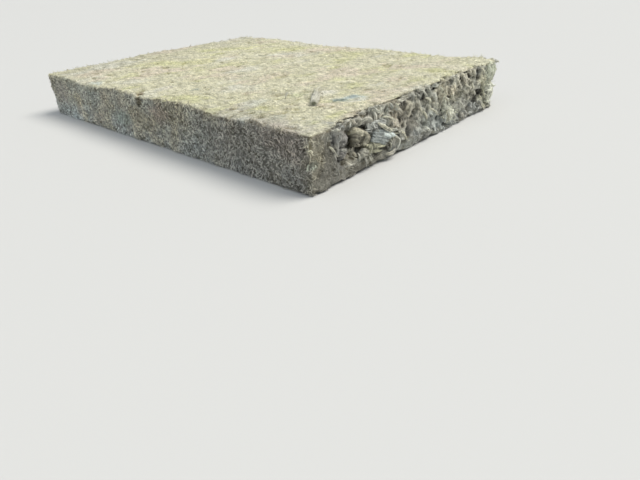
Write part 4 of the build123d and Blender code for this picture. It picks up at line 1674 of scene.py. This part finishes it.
# %% Pith of the roll
pith_shift = 0.0008  # along the roll
pith_size = 0.84  # its radius as a share of the roll's
pith_line = (roll_line + roll_ahead * pith_shift)[None]
pith_radii = (roll_radius * pith_size)[None]
# Painted shade: the pith is darker than the strands, for the shade inside the roll's open end.
pith_shade_tint = np.array([[0.60, 0.63, 0.54]])
add_strands("tuft_pith", pith_line, pith_radii, pith_shade_tint, torn_material, sides=12)

# %% Fray behind the roll, and the small upright tuft
tuft_strand = (0.0004, 0.0008)
fray_strands, fray_width, fray_shade = 20, 0.0036, 1.04
fray_spots = [
    [(0.664, 0.151, 0.004), (0.649, 0.168, 0.006), (0.632, 0.184, 0.001)],
    [(0.660, 0.154, 0.004), (0.651, 0.174, 0.008), (0.646, 0.196, 0.003)],
]
fray_lines = np.array([through([top_at(*spot) for spot in spots]) for spots in fray_spots])
fray_count = len(fray_lines)
fray_widths, fray_shades = np.full(fray_count, fray_width), np.full(fray_count, fray_shade)
fray_tints = np.tile(0.5 * (chalk + cream), (fray_count, 1))
bundle_piece("tuft_fray", fray_lines, fray_widths, fray_strands, fray_shades, fray_tints, tuft_strand)

upright_spots = [(0.620, 0.124, 0.0), (0.619, 0.126, 0.006), (0.622, 0.127, 0.011)]
upright_line = through([top_at(*spot) for spot in upright_spots])[None]
upright_strand = (0.0005, 0.0008)
upright_strands, upright_widths, upright_shades = 10, np.array([0.0016]), np.array([1.15])
bundle_piece(
    "upright_tuft", upright_line, upright_widths, upright_strands, upright_shades, chalk[None], upright_strand
)

# %% [markdown]
# ## Floor and light
#
# A plain pale floor and soft light keep the eye on the wool. In the photograph the light comes from
# above, from the right and from behind the batt, so the top is bright, the torn end is half lit and the
# front side lies in soft shade. A wide sun lamp gives that, a weaker and cooler one fills the front from
# above, and an even surround does the rest.

# %% Floor
floor_reach = 15.0
floor_mesh = bpy.data.meshes.new("floor")
floor_signs = [(-1, -1), (1, -1), (1, 1), (-1, 1)]
floor_corners = [(floor_reach * x, floor_reach * y, 0) for x, y in floor_signs]
floor_mesh.from_pydata(floor_corners, [], [(0, 1, 2, 3)])
floor = bpy.data.objects.new("floor", floor_mesh)
bpy.context.scene.collection.objects.link(floor)
floor_material = bpy.data.materials.new("floor")
floor_material.use_nodes = True
floor_shader = floor_material.node_tree.nodes["Principled BSDF"]
floor_shader.inputs["Base Color"].default_value = (0.55, 0.55, 0.54, 1)
floor_shader.inputs["Roughness"].default_value = 0.9
floor_mesh.materials.append(floor_material)
print("floor", 2 * floor_reach, "m wide")


# %% Lights
def soft_sun(name, azimuth, elevation, width, strength, colour):
    """A sun lamp as wide as a softbox, given by where its light comes from. Angles are in degrees."""
    lamp = bpy.data.lights.new(name, "SUN")
    lamp.angle = np.radians(width)
    lamp.energy = strength
    lamp.color = colour
    towards = direction(np.radians(azimuth), np.radians(elevation))
    holder = bpy.data.objects.new(name, lamp)
    holder.matrix_world = towards.to_track_quat("Z", "Y").to_matrix().to_4x4()
    bpy.context.scene.collection.objects.link(holder)
    print(name, "light of strength", strength)


soft_sun("key", azimuth=46, elevation=58, width=35, strength=3.3, colour=(1.0, 0.965, 0.90))
soft_sun("fill", azimuth=-72, elevation=58, width=80, strength=1.1, colour=(0.90, 0.95, 1.0))

# %% Even surround
surround = bpy.data.worlds.new("surround")
surround.use_nodes = True
background = surround.node_tree.nodes["Background"]
background.inputs["Color"].default_value = (0.84, 0.92, 1.0, 1)
background.inputs["Strength"].default_value = 0.30
bpy.context.scene.world = surround
bpy.context.scene.view_settings.view_transform = "Standard"
print("surround of strength", background.inputs["Strength"].default_value)
